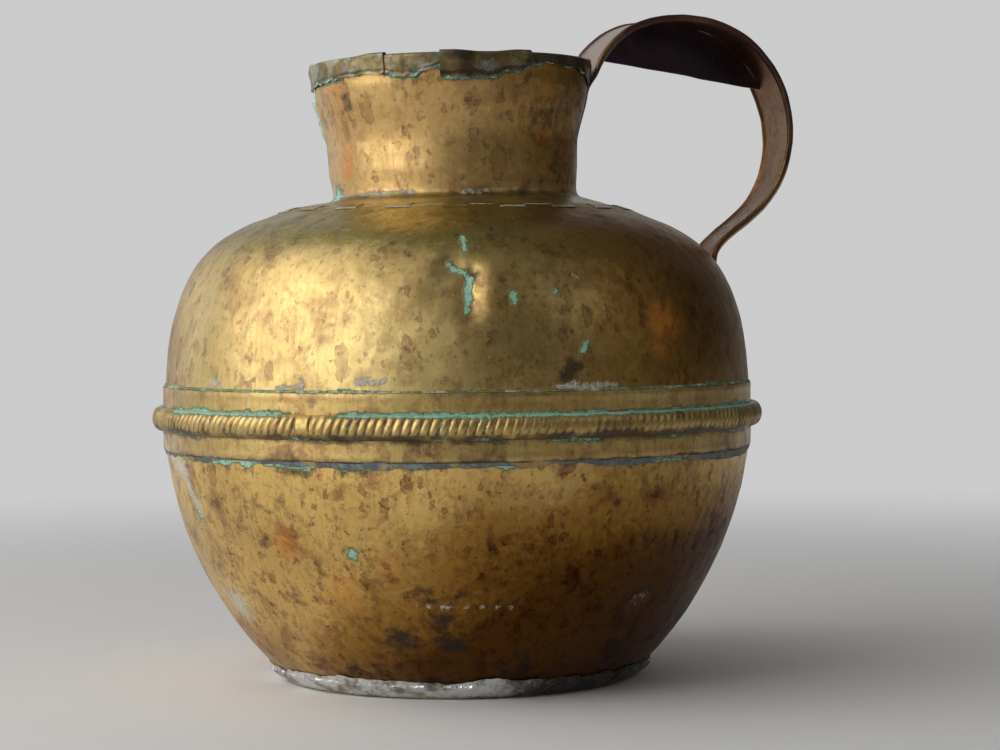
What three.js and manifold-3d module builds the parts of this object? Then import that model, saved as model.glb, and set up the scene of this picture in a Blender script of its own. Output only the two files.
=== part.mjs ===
// A large hand-made brass water pitcher. Its body is two raised bowls lapped behind a roped belt,
// its neck is a rolled sheet let into the shoulder with a toothed seam, and a copper strap handle
// rises above the rim. Millimetres, +Z up, origin on the floor under the middle of the base.
import * as THREE from "three";
import { mergeVertices } from "three/addons/utils/BufferGeometryUtils.js";
import Module from "manifold-3d";

// Sheets and clearances
const SHEET = 1.2; // brass of the bowls, the neck and the base
const BAND_SHEET = 1; // brass of the belt band
const BINDING_SHEET = 0.9; // brass of the rim bindings
const STRAP_SHEET = 1.6; // copper of the handle strap
const WEB_SHEET = 1.2; // copper of the web under the handle's arch
const FIT = 0.3; // gap between two pieces that lie on each other

// Body
const FOOT_RADIUS = 95.2; // outer face of the lower bowl, carried down to the floor
const BELLY_RADIUS = 162.4; // outer face behind the belt
const BELT_HEIGHT = 145.5; // middle of the belt
const LAP = 14; // height of the lap of the two bowls behind the belt
const SEAM_RADIUS = 96; // middle of the toothed seam on the shoulder
const SEAM_HEIGHT = 259;
// how far each bowl's curve runs on along its end directions: shares of its spread and its height
const FOOT_PULL_OUT = 0.574;
const FOOT_PULL_UP = 0.231;
const BELT_PULL_DOWN = 0.336;
const BELT_PULL_UP = 0.854;
const SEAM_PULL_OUT = 0.4;
const SEAM_PULL_DOWN = 0.113;

// Base and its bead of soft solder
const FLANGE_HEIGHT = 6.5; // upturned edge of the base, outside the lower bowl
const BEAD_HEIGHT = 10.4;
const BEAD_PROUD = 2;
const BEAD_LUMP = 0.7; // how uneven the bead is
const BEAD_LIP = 0.3; // how proud its upper edge stands, as a share of the whole
const BEAD_BROW = 0.45; // and where it passes the tray's edge, beyond that edge
const BEAD_BELLY = 0.7; // and its middle, lower down the tray's edge
const BEAD_TOE = 0.45; // and its lower edge
const BEAD_LIP_DROP = 0.6; // from its top down to the upper edge
const BEAD_ROOT = 1.5; // height of the step where it runs from the tray's edge on to the bowl
const BEAD_LIFT = 0.4; // how far its underside stands off the floor

// Belt
const BAND_WIDTH = 34.5;
const ROPE_WIDTH = 13;
const ROPE_CREST_WIDTH = 5.5; // flat top of the moulding
const ROPE_PROUD = 5.8;
const ROPE_PITCH = 4.6; // from one slanting groove to the next
const ROPE_SLANT = 6; // how far a groove runs sideways over the moulding's width
const ROPE_GROOVE = 1.1;
const FILLET_HEIGHT = 2.8; // hard solder along the band's edges
const FILLET_PROUD = 1.1;
const FILLET_WANDER = 0.3; // how uneven its height is, as a share
const FILLET_EDGE = 0.2; // thickness it runs out to

// Neck
const NECK_RADIUS = 67.8; // outer face at its foot
const CROWN_RISE = 6.4; // from the seam up to the foot of the neck
const NECK_HEIGHT = 74.3;
const NECK_FOOT_ROUND = 4;
const FLARE_HEIGHT = 44.3; // upper part of the neck, where it opens
const NECK_DRAFT = 0.8; // how much wider the wall is where the flare starts
const FLARE_OUT = 8.4; // and from there to the rim
const FLARE_PULL_UP = 0.34; // how far the flare runs on along its ends, as shares of its height
const FLARE_PULL_DOWN = 0.56;
const RIM_TURN = 1.5; // how far each pull of the flare leans out of the upright
const NECK_LEAN = 3.4; // degrees that the neck leans away from the handle
const NECK_TILT = 0.8; // degrees that its foot and its rim rise towards the handle
const NECK_SHIFT = 2; // how far its foot stands off the body's axis, towards the handle
const SEAM_LAP_ANGLE = 13; // degrees that the neck's upright lap covers
const SEAM_LAP_FLAT = 0.6; // share of the lap that stands at its full height
const SEAM_SIDE = 180; // its edge, degrees from +X towards +Y
const NECK_SEAM_WIDTH = 4.5; // solder along that edge
const NECK_SEAM_RISE = 10.6; // from the neck's foot to the solder's lower end
const NECK_SEAM_DROP = 15.3; // from the rim down to its upper end
const NECK_SEAM_OFF = 1.7; // from the lap's edge to its solder
const NECK_SEAM_WANDER = 0.25; // how uneven its width is, as a share
// its section: shares of half its width and of its thickness
const NECK_SEAM_SECTION = [
  [-1, 0],
  [1, 0],
  [0.7, 1],
  [-0.5, 0.7],
];

// Toothed seam
const TEETH = 40; // alternate teeth lie above and under the shoulder's edge
const TOOTH_REACH = 6;
const TOOTH_GAP = 0.5; // degrees between two teeth
const TOOTH_FIT = 0.4; // gap between a tooth and the shoulder's edge
const TOOTH_STEP = 2.4; // how far inside the shoulder's edge the flange ends and the teeth step off

// Rim bindings: where each folded strip starts and ends, in degrees round the rim from the front
// towards the handle's side, and how far its outer leg hangs down at its start, middle and end, as
// shares of the usual drop
const BINDINGS = [
  { from: -93, to: -27, drop: [1.25, 1.1, 0.85] },
  { from: -31, to: 0, drop: [0.8, 1.15, 0.5] },
  { from: -4, to: 34, drop: [1.3, 1.35, 0.6] },
  { from: 31, to: 90, drop: [0.45, 0.5, 1.5] },
  { from: 86, to: 142, drop: [0.9, 0.7, 1] },
  { from: 138, to: 186, drop: [1.1, 0.8, 0.9] },
  { from: 182, to: 232, drop: [0.8, 1.2, 0.9] },
  { from: 228, to: 271, drop: [1, 0.7, 1.1] },
];
const BINDING_DROP = 10;
const BINDING_INNER_DROP = 8;
const BINDING_LAP = 5; // degrees over which a strip climbs on to its neighbour
const BINDING_FOLD = 0.2; // how sharp its fold is: the share of its thickness left at the top

// Handle: its strap runs up from the neck, over the crown, out to its reach and down to the heel
const HANDLE_SIDE = 20; // degrees from +X towards +Y
const TONGUE_RISE = 25.6; // from the neck's foot up to the strap's lower tip on the neck
const LIFT_OFF_DROP = 13.3; // from the rim down to where the strap leaves the neck
const LIFT_OFF_TILT = 15.7; // degrees from upright as it leaves
const HANDLE_CROWN = 135.5; // radius of its highest point, inner face
const CROWN_OVER_RIM = 27.9; // how far that point stands above the rim
const HANDLE_REACH = 200.6; // radius of its furthest point, inner face
const REACH_UNDER_RIM = 34;
const HEEL_UNDER_SEAM = 27.8; // from the toothed seam down to where it turns on to the shoulder
const HANDLE_HEEL_STANDOFF = 8.3; // gap under it there
const HEEL_DROP = 11; // from there down to where it lies on the shoulder
const TOE_DROP = 38; // and down to its lower tip
const LIFT_OFF_PULL = 19.1;
const CROWN_PULL_IN = 43.5;
const CROWN_PULL_OUT = 43.9;
const REACH_PULL_UP = 23.6;
const REACH_PULL_DOWN = 53.5;
const HEEL_PULL_UP = 20.1;
const HEEL_PULL_DOWN = 5;
const STRAP_WIDTH = 42; // as far as the crown
const STRAP_HEEL_WIDTH = 27; // and where it lands on the shoulder
const STRAP_TIP_WIDTH = 17;
const STRAP_TAPER = 26; // length over which each end narrows to its tip
const HEM = 2; // radius of the rolled edges
const HEM_FLAT = 0.85; // and where they are hammered flat
const HEM_FADE = 20; // length over which they flatten towards each end
const HEM_TURNS = [1.8, 0.6]; // places round a hem, in radians from its outermost point
const LIFT_OFF_BLEND = [-4, 8]; // lengths past the lift-off over which the strap lets go of the neck
const LANDING_BLEND = [-10, 2]; // and past the landing over which it takes the shoulder's curve
const WEB_START_DROP = 21.8; // from the crown down to the web's lower edge, by the neck
const WEB_END_DROP = 37; // and at the far side
const WEB_OFFSET = 9; // how far the web stands behind the strap's middle

// Rivets
const RIVET_RADIUS = 2.2;
const RIVET_HEAD_RADIUS = 4.6;
const RIVET_HEAD_HEIGHT = 2.3;
const RIVET_TAIL_RADIUS = 4;
const RIVET_TAIL_HEIGHT = 1.4;
const RIVET_SPARE = 1.4; // shank left long at the tail, for the curve of the walls
const RIVET_CROWN = [0.8, 0.65]; // where the head's face turns: shares of its radius and height
const NECK_RIVET_RISE = 8.5; // from the strap's tip up to the first rivet on the neck
const NECK_RIVET_STEP = 13.5; // and to the next
const SHOULDER_RIVET_RISE = 8; // from the strap's lower tip up to the single rivet
const SHOULDER_RIVET_STEP = 14; // and to the pair above it
const SHOULDER_RIVET_SPREAD = 6.5; // from the strap's middle to each of the pair

// Facets
const ROUND = 40; // sides of the large rounds
const CURVE_STEPS = 8; // stretches along a bowl's curve
const FLARE_STEPS = 4; // and along the neck's flare
const FOOT_STEPS = 2;
const STRAP_STEPS = 23;
const ARCH_STEPS = 10; // points on each part of the strap's line that stands free
const SEAT_STEPS = 3; // and on each part that lies on a wall
const SEARCH_STEPS = 200; // places tried when a height is looked for along the strap
const SEAM_STEPS = 4;
const RIVET_SIDES = 8;

const BRASS = new THREE.MeshStandardMaterial({ color: 0x9a7b3a, roughness: 0.42, metalness: 1 });
const OLD_BRASS = new THREE.MeshStandardMaterial({ color: 0x7e5f34, roughness: 0.5, metalness: 1 });
const COPPER = new THREE.MeshStandardMaterial({ color: 0x7a4a35, roughness: 0.5, metalness: 1 });
const SOFT_SOLDER = new THREE.MeshStandardMaterial({ color: 0xb4b4b2, roughness: 0.45, metalness: 0.9 });
const VERDIGRIS = new THREE.MeshStandardMaterial({ color: 0x5f8a78, roughness: 0.85, metalness: 0.1 });

// Heights that follow from the sizes above
const NECK_FOOT = SEAM_HEIGHT + CROWN_RISE;
const RIM_HEIGHT = NECK_FOOT + NECK_HEIGHT;
const RIM_RADIUS = NECK_RADIUS + NECK_DRAFT + FLARE_OUT;
const FLARE_START = RIM_HEIGHT - FLARE_HEIGHT;
const BELT_BOTTOM = BELT_HEIGHT - LAP / 2;
const BELT_TOP = BELT_HEIGHT + LAP / 2;
const TONGUE = NECK_FOOT + TONGUE_RISE;
const LIFT_OFF = RIM_HEIGHT - LIFT_OFF_DROP;
const CROWN_HEIGHT = RIM_HEIGHT + CROWN_OVER_RIM;
const HEEL = SEAM_HEIGHT - HEEL_UNDER_SEAM;
const TOE = HEEL - TOE_DROP;
const NECK_RIVETS = [TONGUE + NECK_RIVET_RISE, TONGUE + NECK_RIVET_RISE + NECK_RIVET_STEP];
const SHOULDER_RIVETS = [0, -1, 1].map((side) => ({
  height: TOE + SHOULDER_RIVET_RISE + Math.abs(side) * SHOULDER_RIVET_STEP,
  across: side * SHOULDER_RIVET_SPREAD,
}));

const radians = THREE.MathUtils.degToRad;
const smooth = THREE.MathUtils.smoothstep;
const mix = THREE.MathUtils.lerp;
const point = (radius, height) => new THREE.Vector2(radius, height);
const polar = (radius, angle, height) =>
  new THREE.Vector3(radius * Math.cos(angle), radius * Math.sin(angle), height);
const ANGLES = Array.from({ length: ROUND }, (_, i) => (2 * Math.PI * i) / ROUND);

// A slow uneven wave round the object, from -1 to 1
const wave = (angle, seed) =>
  0.5 * Math.sin(5 * angle + seed) +
  0.3 * Math.sin(11 * angle + 2 * seed) +
  0.2 * Math.sin(17 * angle - seed);

// Profiles: rows of points that run upwards, with the outside on their right

// The row moved sideways: outwards where the distance is positive
const SHORTEST_MITRE = 0.5; // keeps a sharp corner from moving more than twice the distance
function shift(row, distance) {
  return row.map((here, i) => {
    const before = row[Math.max(i - 1, 0)];
    const after = row[Math.min(i + 1, row.length - 1)];
    const into = here.clone().sub(before).normalize();
    const out = after.clone().sub(here).normalize();
    const along = into.clone().add(out).normalize();
    const corner = distance / Math.max(SHORTEST_MITRE, along.dot(i === 0 ? out : into));
    return point(here.x + along.y * corner, here.y - along.x * corner);
  });
}

// The closed outline of a sheet whose outer face is one row and whose inner face is another
const between = (outer, inner) => [...outer, ...[...inner].reverse()];

// Radius of a row at a height
function radiusAt(row, height) {
  const below = row.filter((p) => p.y <= height).length;
  const i = THREE.MathUtils.clamp(below, 1, row.length - 1);
  const [low, high] = [row[i - 1], row[i]];
  return mix(low.x, high.x, (height - low.y) / (high.y - low.y));
}

// The stretch of a row between two heights, with its own points kept except right by the cuts
const NEAR_CUT = 0.5;
const stretch = (row, from, to) => [
  point(radiusAt(row, from), from),
  ...row.filter((p) => p.y > from + NEAR_CUT && p.y < to - NEAR_CUT),
  point(radiusAt(row, to), to),
];

const lowerCurve = new THREE.CubicBezierCurve(
  point(FOOT_RADIUS, 0),
  point(mix(FOOT_RADIUS, BELLY_RADIUS, FOOT_PULL_OUT), FOOT_PULL_UP * BELT_BOTTOM),
  point(BELLY_RADIUS, (1 - BELT_PULL_DOWN) * BELT_BOTTOM),
  point(BELLY_RADIUS, BELT_BOTTOM),
);
const upperCurve = new THREE.CubicBezierCurve(
  point(BELLY_RADIUS, BELT_TOP),
  point(BELLY_RADIUS, mix(BELT_TOP, SEAM_HEIGHT, BELT_PULL_UP)),
  point(mix(SEAM_RADIUS, BELLY_RADIUS, SEAM_PULL_OUT), mix(SEAM_HEIGHT, BELT_TOP, SEAM_PULL_DOWN)),
  point(SEAM_RADIUS, SEAM_HEIGHT),
);

const lowerLine = lowerCurve.getPoints(CURVE_STEPS);
const shoulderLine = upperCurve.getPoints(CURVE_STEPS);

// The outer face of the whole body, from the floor to the seam
const bodyLine = [...lowerLine, ...shoulderLine];

// The shoulder's true curve, which its facets lie just inside
const shoulderCurve = upperCurve.getPoints(6 * CURVE_STEPS);

// The crown: the outer face from the seam inwards to the foot of the neck
const CROWN_EDGE = SEAM_RADIUS - TOOTH_REACH / 2;
const crownSlope = (NECK_FOOT - SEAM_HEIGHT) / (SEAM_RADIUS - NECK_RADIUS);
const crownAt = (radius) => SEAM_HEIGHT + (SEAM_RADIUS - radius) * crownSlope;

// The neck's outer face, from the edge of its flange to the rim
function neckFace() {
  const wall = new THREE.QuadraticBezierCurve(
    point(NECK_RADIUS + NECK_FOOT_ROUND, crownAt(NECK_RADIUS + NECK_FOOT_ROUND)),
    point(NECK_RADIUS, NECK_FOOT),
    point(NECK_RADIUS, NECK_FOOT + NECK_FOOT_ROUND),
  );
  const flare = new THREE.CubicBezierCurve(
    point(NECK_RADIUS + NECK_DRAFT, FLARE_START),
    point(NECK_RADIUS + NECK_DRAFT + RIM_TURN, FLARE_START + FLARE_PULL_UP * FLARE_HEIGHT),
    point(RIM_RADIUS - RIM_TURN, RIM_HEIGHT - FLARE_PULL_DOWN * FLARE_HEIGHT),
    point(RIM_RADIUS, RIM_HEIGHT),
  );
  const edge = CROWN_EDGE - TOOTH_STEP;
  return [
    point(edge, crownAt(edge)),
    ...wall.getPoints(FOOT_STEPS),
    ...flare.getPoints(FLARE_STEPS),
  ];
}
const neckLine = neckFace();
const wallLine = neckLine.slice(1 + FOOT_STEPS);

// The neck's lean: its wall slides sideways as it rises, and its rim stays almost level
const PIVOT = NECK_FOOT;
const slide = Math.tan(radians(NECK_LEAN));
const tilt = Math.tan(radians(NECK_TILT));
function lean(p, share = 1) {
  const aside = NECK_SHIFT - (p.z - PIVOT) * slide;
  return new THREE.Vector3(p.x + share * aside, p.y, p.z + share * p.x * tilt);
}
function leanAtNeck(p) {
  const radius = Math.hypot(p.x, p.y);
  const onWall = p.z > NECK_FOOT + NECK_FOOT_ROUND;
  const fade = smooth(radius, NECK_RADIUS + NECK_FOOT_ROUND / 2, CROWN_EDGE - TOOTH_REACH);
  return lean(p, onWall ? 1 : 1 - fade);
}
function unlean(p) {
  const x = (p.x - NECK_SHIFT + (p.z - PIVOT) * slide) / (1 + slide * tilt);
  return new THREE.Vector3(x, p.y, p.z - x * tilt);
}

// The step of the neck's upright lap: sharp at its edge, fading the other way round
function lapStep(angle) {
  const past = THREE.MathUtils.euclideanModulo(THREE.MathUtils.radToDeg(angle) - SEAM_SIDE, 360);
  const fade = smooth(past, SEAM_LAP_FLAT * SEAM_LAP_ANGLE, SEAM_LAP_ANGLE);
  return SHEET * (1 - fade);
}
const NECK_SEAM_START = NECK_FOOT + NECK_SEAM_RISE;
const NECK_SEAM_END = RIM_HEIGHT - NECK_SEAM_DROP;
const lapWindow = (height) =>
  smooth(height, NECK_FOOT, NECK_FOOT + 3 * NECK_FOOT_ROUND) *
  (1 - smooth(height, NECK_SEAM_END - NECK_FOOT_ROUND, NECK_SEAM_END));

// Meshes

function meshGeometry(points, faces) {
  const geometry = new THREE.BufferGeometry();
  const positions = points.flatMap((p) => [p.x, p.y, p.z]);
  geometry.setAttribute("position", new THREE.Float32BufferAttribute(positions, 3));
  let volume = 0;
  for (let i = 0; i < faces.length; i += 3) {
    const [a, b, c] = [faces[i], faces[i + 1], faces[i + 2]].map((k) => points[k]);
    volume += a.dot(b.clone().cross(c));
  }
  geometry.setIndex(volume < 0 ? faces.toReversed() : faces);
  return geometry;
}

// A skin over a row of loops with the same number of points. An endless row closes on itself;
// any other is capped at both ends, over the flat outline given for each end.
function loft(loops, caps) {
  const count = loops[0].length;
  const spans = caps ? loops.length - 1 : loops.length;
  const faces = [];
  for (let i = 0; i < spans; i++) {
    const here = i * count;
    const next = ((i + 1) % loops.length) * count;
    for (let j = 0; j < count; j++) {
      const k = (j + 1) % count;
      faces.push(here + j, next + k, next + j, here + j, here + k, next + k);
    }
  }
  (caps ?? []).forEach((outline, end) => {
    const start = end * spans * count;
    const turn = THREE.ShapeUtils.isClockWise(outline) ? -1 : 1;
    for (const [a, b, c] of THREE.ShapeUtils.triangulateShape(outline, [])) {
      const area = outline[b].clone().sub(outline[a]).cross(outline[c].clone().sub(outline[a]));
      const same = Math.sign(area) === turn;
      const [p, q] = same === (end === 1) ? [b, c] : [c, b];
      faces.push(start + a, start + p, start + q);
    }
  });
  return meshGeometry(loops.flat(), faces);
}

// A plain round piece, turned from its closed outline
function turned(outline) {
  const closed = outline[0].x === 0 ? outline : [...outline, outline[0]];
  return new THREE.LatheGeometry(closed, ROUND).rotateX(Math.PI / 2);
}

const wasm = await Module();
wasm.setup();
const MERGE = 1e-4; // points closer than this are one

function solid(geometry) {
  const bare = geometry.clone();
  bare.deleteAttribute("normal");
  bare.deleteAttribute("uv");
  const merged = mergeVertices(bare, MERGE);
  return new wasm.Manifold(
    new wasm.Mesh({
      numProp: 3,
      vertProperties: merged.getAttribute("position").array,
      triVerts: new Uint32Array(merged.index.array),
    }),
  );
}

function geometryOf(made) {
  const mesh = made.getMesh();
  const geometry = new THREE.BufferGeometry();
  geometry.setAttribute("position", new THREE.BufferAttribute(mesh.vertProperties, 3));
  return geometry.setIndex(new THREE.BufferAttribute(mesh.triVerts, 1));
}

const pitcher = new THREE.Group();
function add(name, geometry, material) {
  const flat = geometry.index ? geometry.toNonIndexed() : geometry;
  flat.computeVertexNormals();
  const mesh = new THREE.Mesh(flat, material);
  mesh.name = name;
  pitcher.add(mesh);
}

// Lower bowl: from just above the base to the joggled lap inside the upper bowl

function lowerBowl() {
  const lapRadius = BELLY_RADIUS - SHEET - FIT;
  const joggle = 2 * (SHEET + FIT);
  const face = [
    ...stretch(lowerLine, SHEET + FIT, BELT_BOTTOM - joggle),
    point(lapRadius, BELT_BOTTOM - FIT),
    point(lapRadius, BELT_TOP),
  ];
  return turned(between(face, shift(face, -SHEET)));
}

// Upper bowl: from the lap over the shoulder to the edge that the neck's teeth grip

function upperBowl() {
  const face = [
    point(BELLY_RADIUS, BELT_BOTTOM),
    ...shoulderLine,
    point(CROWN_EDGE, crownAt(CROWN_EDGE)),
  ];
  const bowl = turned(between(face, shift(face, -SHEET)));
  return SHOULDER_RIVETS.reduce(
    (whole, { height, across }) => whole.subtract(rivetHole(shoulderSeat(height, across))),
    solid(bowl),
  );
}

// Base: a shallow tray whose edge is turned up round the lower bowl

function baseTray() {
  const foot = stretch(bodyLine, SHEET + FIT, FLANGE_HEIGHT);
  const inner = shift(foot, FIT);
  const outer = shift(foot, FIT + SHEET);
  const floorRadius = outer[0].x - SHEET;
  return turned([
    point(0, 0),
    point(floorRadius, 0),
    ...outer,
    ...inner.toReversed(),
    point(inner[0].x - SHEET, SHEET),
    point(0, SHEET),
  ]);
}

// Foot bead: lumpy soft solder over the tray's edge

function footBead() {
  const flange = shift(stretch(bodyLine, SHEET + FIT, FLANGE_HEIGHT), 2 * FIT + SHEET);
  const bowl = shift(stretch(bodyLine, FLANGE_HEIGHT, BEAD_HEIGHT + BEAD_LUMP), FIT);
  const root = FLANGE_HEIGHT + BEAD_ROOT;
  const section = (angle) => {
    const top = BEAD_HEIGHT + BEAD_LUMP * wave(angle, 1);
    const proud = BEAD_PROUD + BEAD_LUMP * wave(angle, 4);
    return [
      point(flange[0].x + FIT, BEAD_LIFT),
      flange.at(-1),
      point(radiusAt(bowl, root), root),
      point(radiusAt(bowl, top), top),
      point(radiusAt(bowl, top) + BEAD_LIP * proud, top - BEAD_LIP_DROP),
      point(flange.at(-1).x + BEAD_BROW * proud, flange.at(-1).y - FIT),
      point(radiusAt(flange, FLANGE_HEIGHT / 3) + BEAD_BELLY * proud, FLANGE_HEIGHT / 3),
      point(flange[0].x + BEAD_TOE * proud, BEAD_LIFT),
    ];
  };
  return loft(ANGLES.map((angle) => section(angle).map((p) => polar(p.x, angle, p.y))));
}

// Belt: a band over the lap, the roped moulding round it and the solder along its edges

function beltBand() {
  const face = stretch(bodyLine, BELT_HEIGHT - BAND_WIDTH / 2, BELT_HEIGHT + BAND_WIDTH / 2);
  return turned(between(shift(face, FIT + BAND_SHEET), shift(face, FIT)));
}

function ropeMoulding() {
  const back = BELLY_RADIUS + 2 * FIT + BAND_SHEET;
  const grooves = Math.round((2 * Math.PI * (back + ROPE_PROUD)) / ROPE_PITCH);
  const slant = ROPE_SLANT / (back + ROPE_PROUD);
  const half = ROPE_WIDTH / 2;
  const [bottom, top] = [BELT_HEIGHT - ROPE_CREST_WIDTH / 2, BELT_HEIGHT + ROPE_CREST_WIDTH / 2];
  const crest = back + ROPE_PROUD;
  const points = [];
  const faces = [];
  for (let i = 0; i < grooves; i++) {
    const angle = (2 * Math.PI * i) / grooves;
    const low = angle + slant / 4;
    const high = angle + (3 * slant) / 4;
    const pitch = Math.PI / grooves;
    points.push(
      polar(back, angle, BELT_HEIGHT - half),
      polar(back, angle + slant, BELT_HEIGHT + half),
      polar(crest, low, bottom),
      polar(crest - ROPE_GROOVE, low + pitch, bottom),
      polar(crest, high, top),
      polar(crest - ROPE_GROOVE, high + pitch, top),
    );
    const first = points.length - 6;
    const [foot, head, ridgeLow, grooveLow, ridgeHigh, grooveHigh] = [0, 1, 2, 3, 4, 5].map(
      (k) => first + k,
    );
    const next = i + 1 < grooves ? points.length : 0;
    const [nextFoot, nextHead, nextLow, nextHigh] = [0, 1, 2, 4].map((k) => next + k);
    faces.push(foot, nextFoot, grooveLow, foot, grooveLow, ridgeLow, nextFoot, nextLow, grooveLow);
    faces.push(ridgeLow, grooveLow, grooveHigh, ridgeLow, grooveHigh, ridgeHigh);
    faces.push(grooveLow, nextLow, nextHigh, grooveLow, nextHigh, grooveHigh);
    faces.push(ridgeHigh, grooveHigh, head, grooveHigh, nextHead, head, grooveHigh, nextHigh, nextHead);
    faces.push(foot, head, nextHead, foot, nextHead, nextFoot);
  }
  return meshGeometry(points, faces);
}

// A thin fillet on the body, above the band's upper edge or below its lower one
function bandFillet(side) {
  const edge = BELT_HEIGHT + side * (BAND_WIDTH / 2 + FIT);
  return loft(
    ANGLES.map((angle) => {
      const tip = edge + side * FILLET_HEIGHT * (1 + FILLET_WANDER * wave(angle, 2 + side));
      return [
        polar(radiusAt(bodyLine, edge) + FIT, angle, edge),
        polar(radiusAt(bodyLine, edge) + FIT + FILLET_PROUD, angle, edge),
        polar(radiusAt(bodyLine, tip) + FIT + FILLET_EDGE, angle, tip),
        polar(radiusAt(bodyLine, tip) + FIT, angle, tip - side * FILLET_EDGE),
      ];
    }),
  );
}

// Neck: a rolled sheet with a flange, an upright lap and teeth that grip the shoulder's edge

function neckSolid() {
  const inner = shift(neckLine, -SHEET);
  const edge = radians(SEAM_SIDE);
  const angles = [...ANGLES, edge - radians(1)].sort((a, b) => a - b);
  const loops = angles.map((angle) => {
    const face = neckLine.map((p) => polar(p.x + lapStep(angle) * lapWindow(p.y), angle, p.y));
    return [...face, ...inner.toReversed().map((p) => polar(p.x, angle, p.y))].map(leanAtNeck);
  });
  const teeth = Array.from({ length: TEETH }, (_, i) => solid(tooth(i)));
  const shell = wasm.Manifold.union([solid(loft(loops)), ...teeth]);
  return NECK_RIVETS.reduce((whole, height) => whole.subtract(rivetHole(neckSeat(height))), shell);
}

// One tooth: rooted in the flange, then stepped over the shoulder's edge or under it
function tooth(index) {
  const above = index % 2 === 0;
  const edge = CROWN_EDGE - TOOTH_STEP;
  const root = edge - SHEET;
  const tip = SEAM_RADIUS + TOOTH_REACH / 2;
  const near = above ? TOOTH_FIT : -SHEET - TOOTH_FIT; // the tooth's face next to the shoulder's edge
  const far = above ? TOOTH_FIT + SHEET : -2 * SHEET - TOOTH_FIT;
  const inset = SHEET / 4; // keeps the root inside the flange
  const [nearRoot, farRoot] = above ? [inset - SHEET, -inset] : [-inset, inset - SHEET];
  const face = (radius, offset) =>
    point(radius, (radius < CROWN_EDGE ? crownAt(radius) : radiusToHeight(radius)) + offset);
  const outline = [
    face(root, nearRoot),
    face(edge + FIT, nearRoot),
    face(CROWN_EDGE - FIT, near),
    face(tip, near),
    face(tip, far),
    face(CROWN_EDGE - SHEET, far),
    face(edge + inset, farRoot),
    face(root, farRoot),
  ];
  const width = (2 * Math.PI) / TEETH;
  const ends = [index * width + radians(TOOTH_GAP / 2), (index + 1) * width - radians(TOOTH_GAP / 2)];
  const loops = ends.map((angle) => outline.map((p) => polar(p.x, angle, p.y)));
  return loft(loops, [outline, outline]);
}

// Height of the shoulder's outer face at a radius
function radiusToHeight(radius) {
  const outside = shoulderLine.filter((p) => p.x >= radius).length;
  const i = THREE.MathUtils.clamp(outside, 1, shoulderLine.length - 1);
  const [wide, narrow] = [shoulderLine[i - 1], shoulderLine[i]];
  return mix(wide.y, narrow.y, (radius - wide.x) / (narrow.x - wide.x));
}

// A bead of solder up the edge of the neck's lap
function neckSeam() {
  const half = NECK_SEAM_WIDTH / 2;
  const middle = radians(SEAM_SIDE) - (half + NECK_SEAM_OFF) / NECK_RADIUS;
  const outlines = Array.from({ length: SEAM_STEPS + 1 }, (_, i) => {
    const uneven = half * (1 + NECK_SEAM_WANDER * Math.sin(3 * i));
    return NECK_SEAM_SECTION.map(([across, lift]) =>
      point(across * (across < 0 ? uneven : half), FIT + lift * SHEET),
    );
  });
  const loops = outlines.map((outline, i) => {
    const height = mix(NECK_SEAM_START, NECK_SEAM_END, i / SEAM_STEPS);
    return outline.map((p) => {
      const radius = radiusAt(wallLine, height) + p.y;
      return leanAtNeck(polar(radius, middle + p.x / radius, height));
    });
  });
  return loft(loops, [outlines[0], outlines[SEAM_STEPS]]);
}

// Rim bindings: strips folded over the rim, every second one lapped over its neighbours

function binding({ from, to, drop }, over) {
  const side = 360 / ROUND; // the neck's own corners stand this many degrees apart
  const corners = ANGLES.map((_, i) => (Math.ceil(from / side) + i) * side);
  const stations = [
    from,
    ...(over ? [from + BINDING_LAP] : []),
    ...corners.filter((degrees) => {
      const toEnd = Math.min(degrees - from, to - degrees);
      return toEnd > (over ? BINDING_LAP : 0) + 1;
    }),
    ...(over ? [to - BINDING_LAP] : []),
    to,
  ];
  const outlineAt = (degrees) => {
    const t = (degrees - from) / (to - from);
    const ends = Math.min(degrees - from, to - degrees);
    const climb = BINDING_SHEET + 2 * FIT;
    const lift = over ? climb * (1 - smooth(ends, BINDING_LAP, 2 * BINDING_LAP)) : 0;
    const [start, middle, end] = drop;
    const share = t < 0.5 ? mix(start, middle, 2 * t) : mix(middle, end, 2 * t - 1);
    const hang = share * BINDING_DROP;
    const crest = RIM_HEIGHT + FIT + lift;
    const outside = (height) => radiusAt(wallLine, height) + FIT + lift;
    const inside = (height) => radiusAt(wallLine, height) - SHEET - FIT - lift;
    const low = RIM_HEIGHT - hang;
    const middleHeight = RIM_HEIGHT - hang / 2;
    const innerLow = RIM_HEIGHT - BINDING_INNER_DROP;
    const thick = BINDING_SHEET;
    return [
      point(outside(low) + thick, low),
      point(outside(middleHeight) + thick, middleHeight),
      point(outside(RIM_HEIGHT) + thick, crest - FIT),
      point(outside(RIM_HEIGHT) + BINDING_FOLD * thick, crest + thick),
      point(inside(RIM_HEIGHT) - BINDING_FOLD * thick, crest + thick),
      point(inside(RIM_HEIGHT) - thick, crest - FIT),
      point(inside(innerLow) - thick, innerLow),
      point(inside(innerLow), innerLow),
      point(inside(RIM_HEIGHT), crest),
      point(outside(RIM_HEIGHT), crest),
      point(outside(middleHeight), middleHeight),
      point(outside(low), low),
    ];
  };
  const loops = stations.map((degrees) =>
    outlineAt(degrees).map((p) => lean(polar(p.x, radians(degrees - 90), p.y))),
  );
  return loft(loops, [outlineAt(from), outlineAt(to)]);
}

// Handle

const handleAngle = radians(HANDLE_SIDE);
const strapSide = new THREE.Vector3(Math.sin(handleAngle), -Math.cos(handleAngle), 0);
const inPlane = (p) => polar(p.x, handleAngle, p.y);

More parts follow.
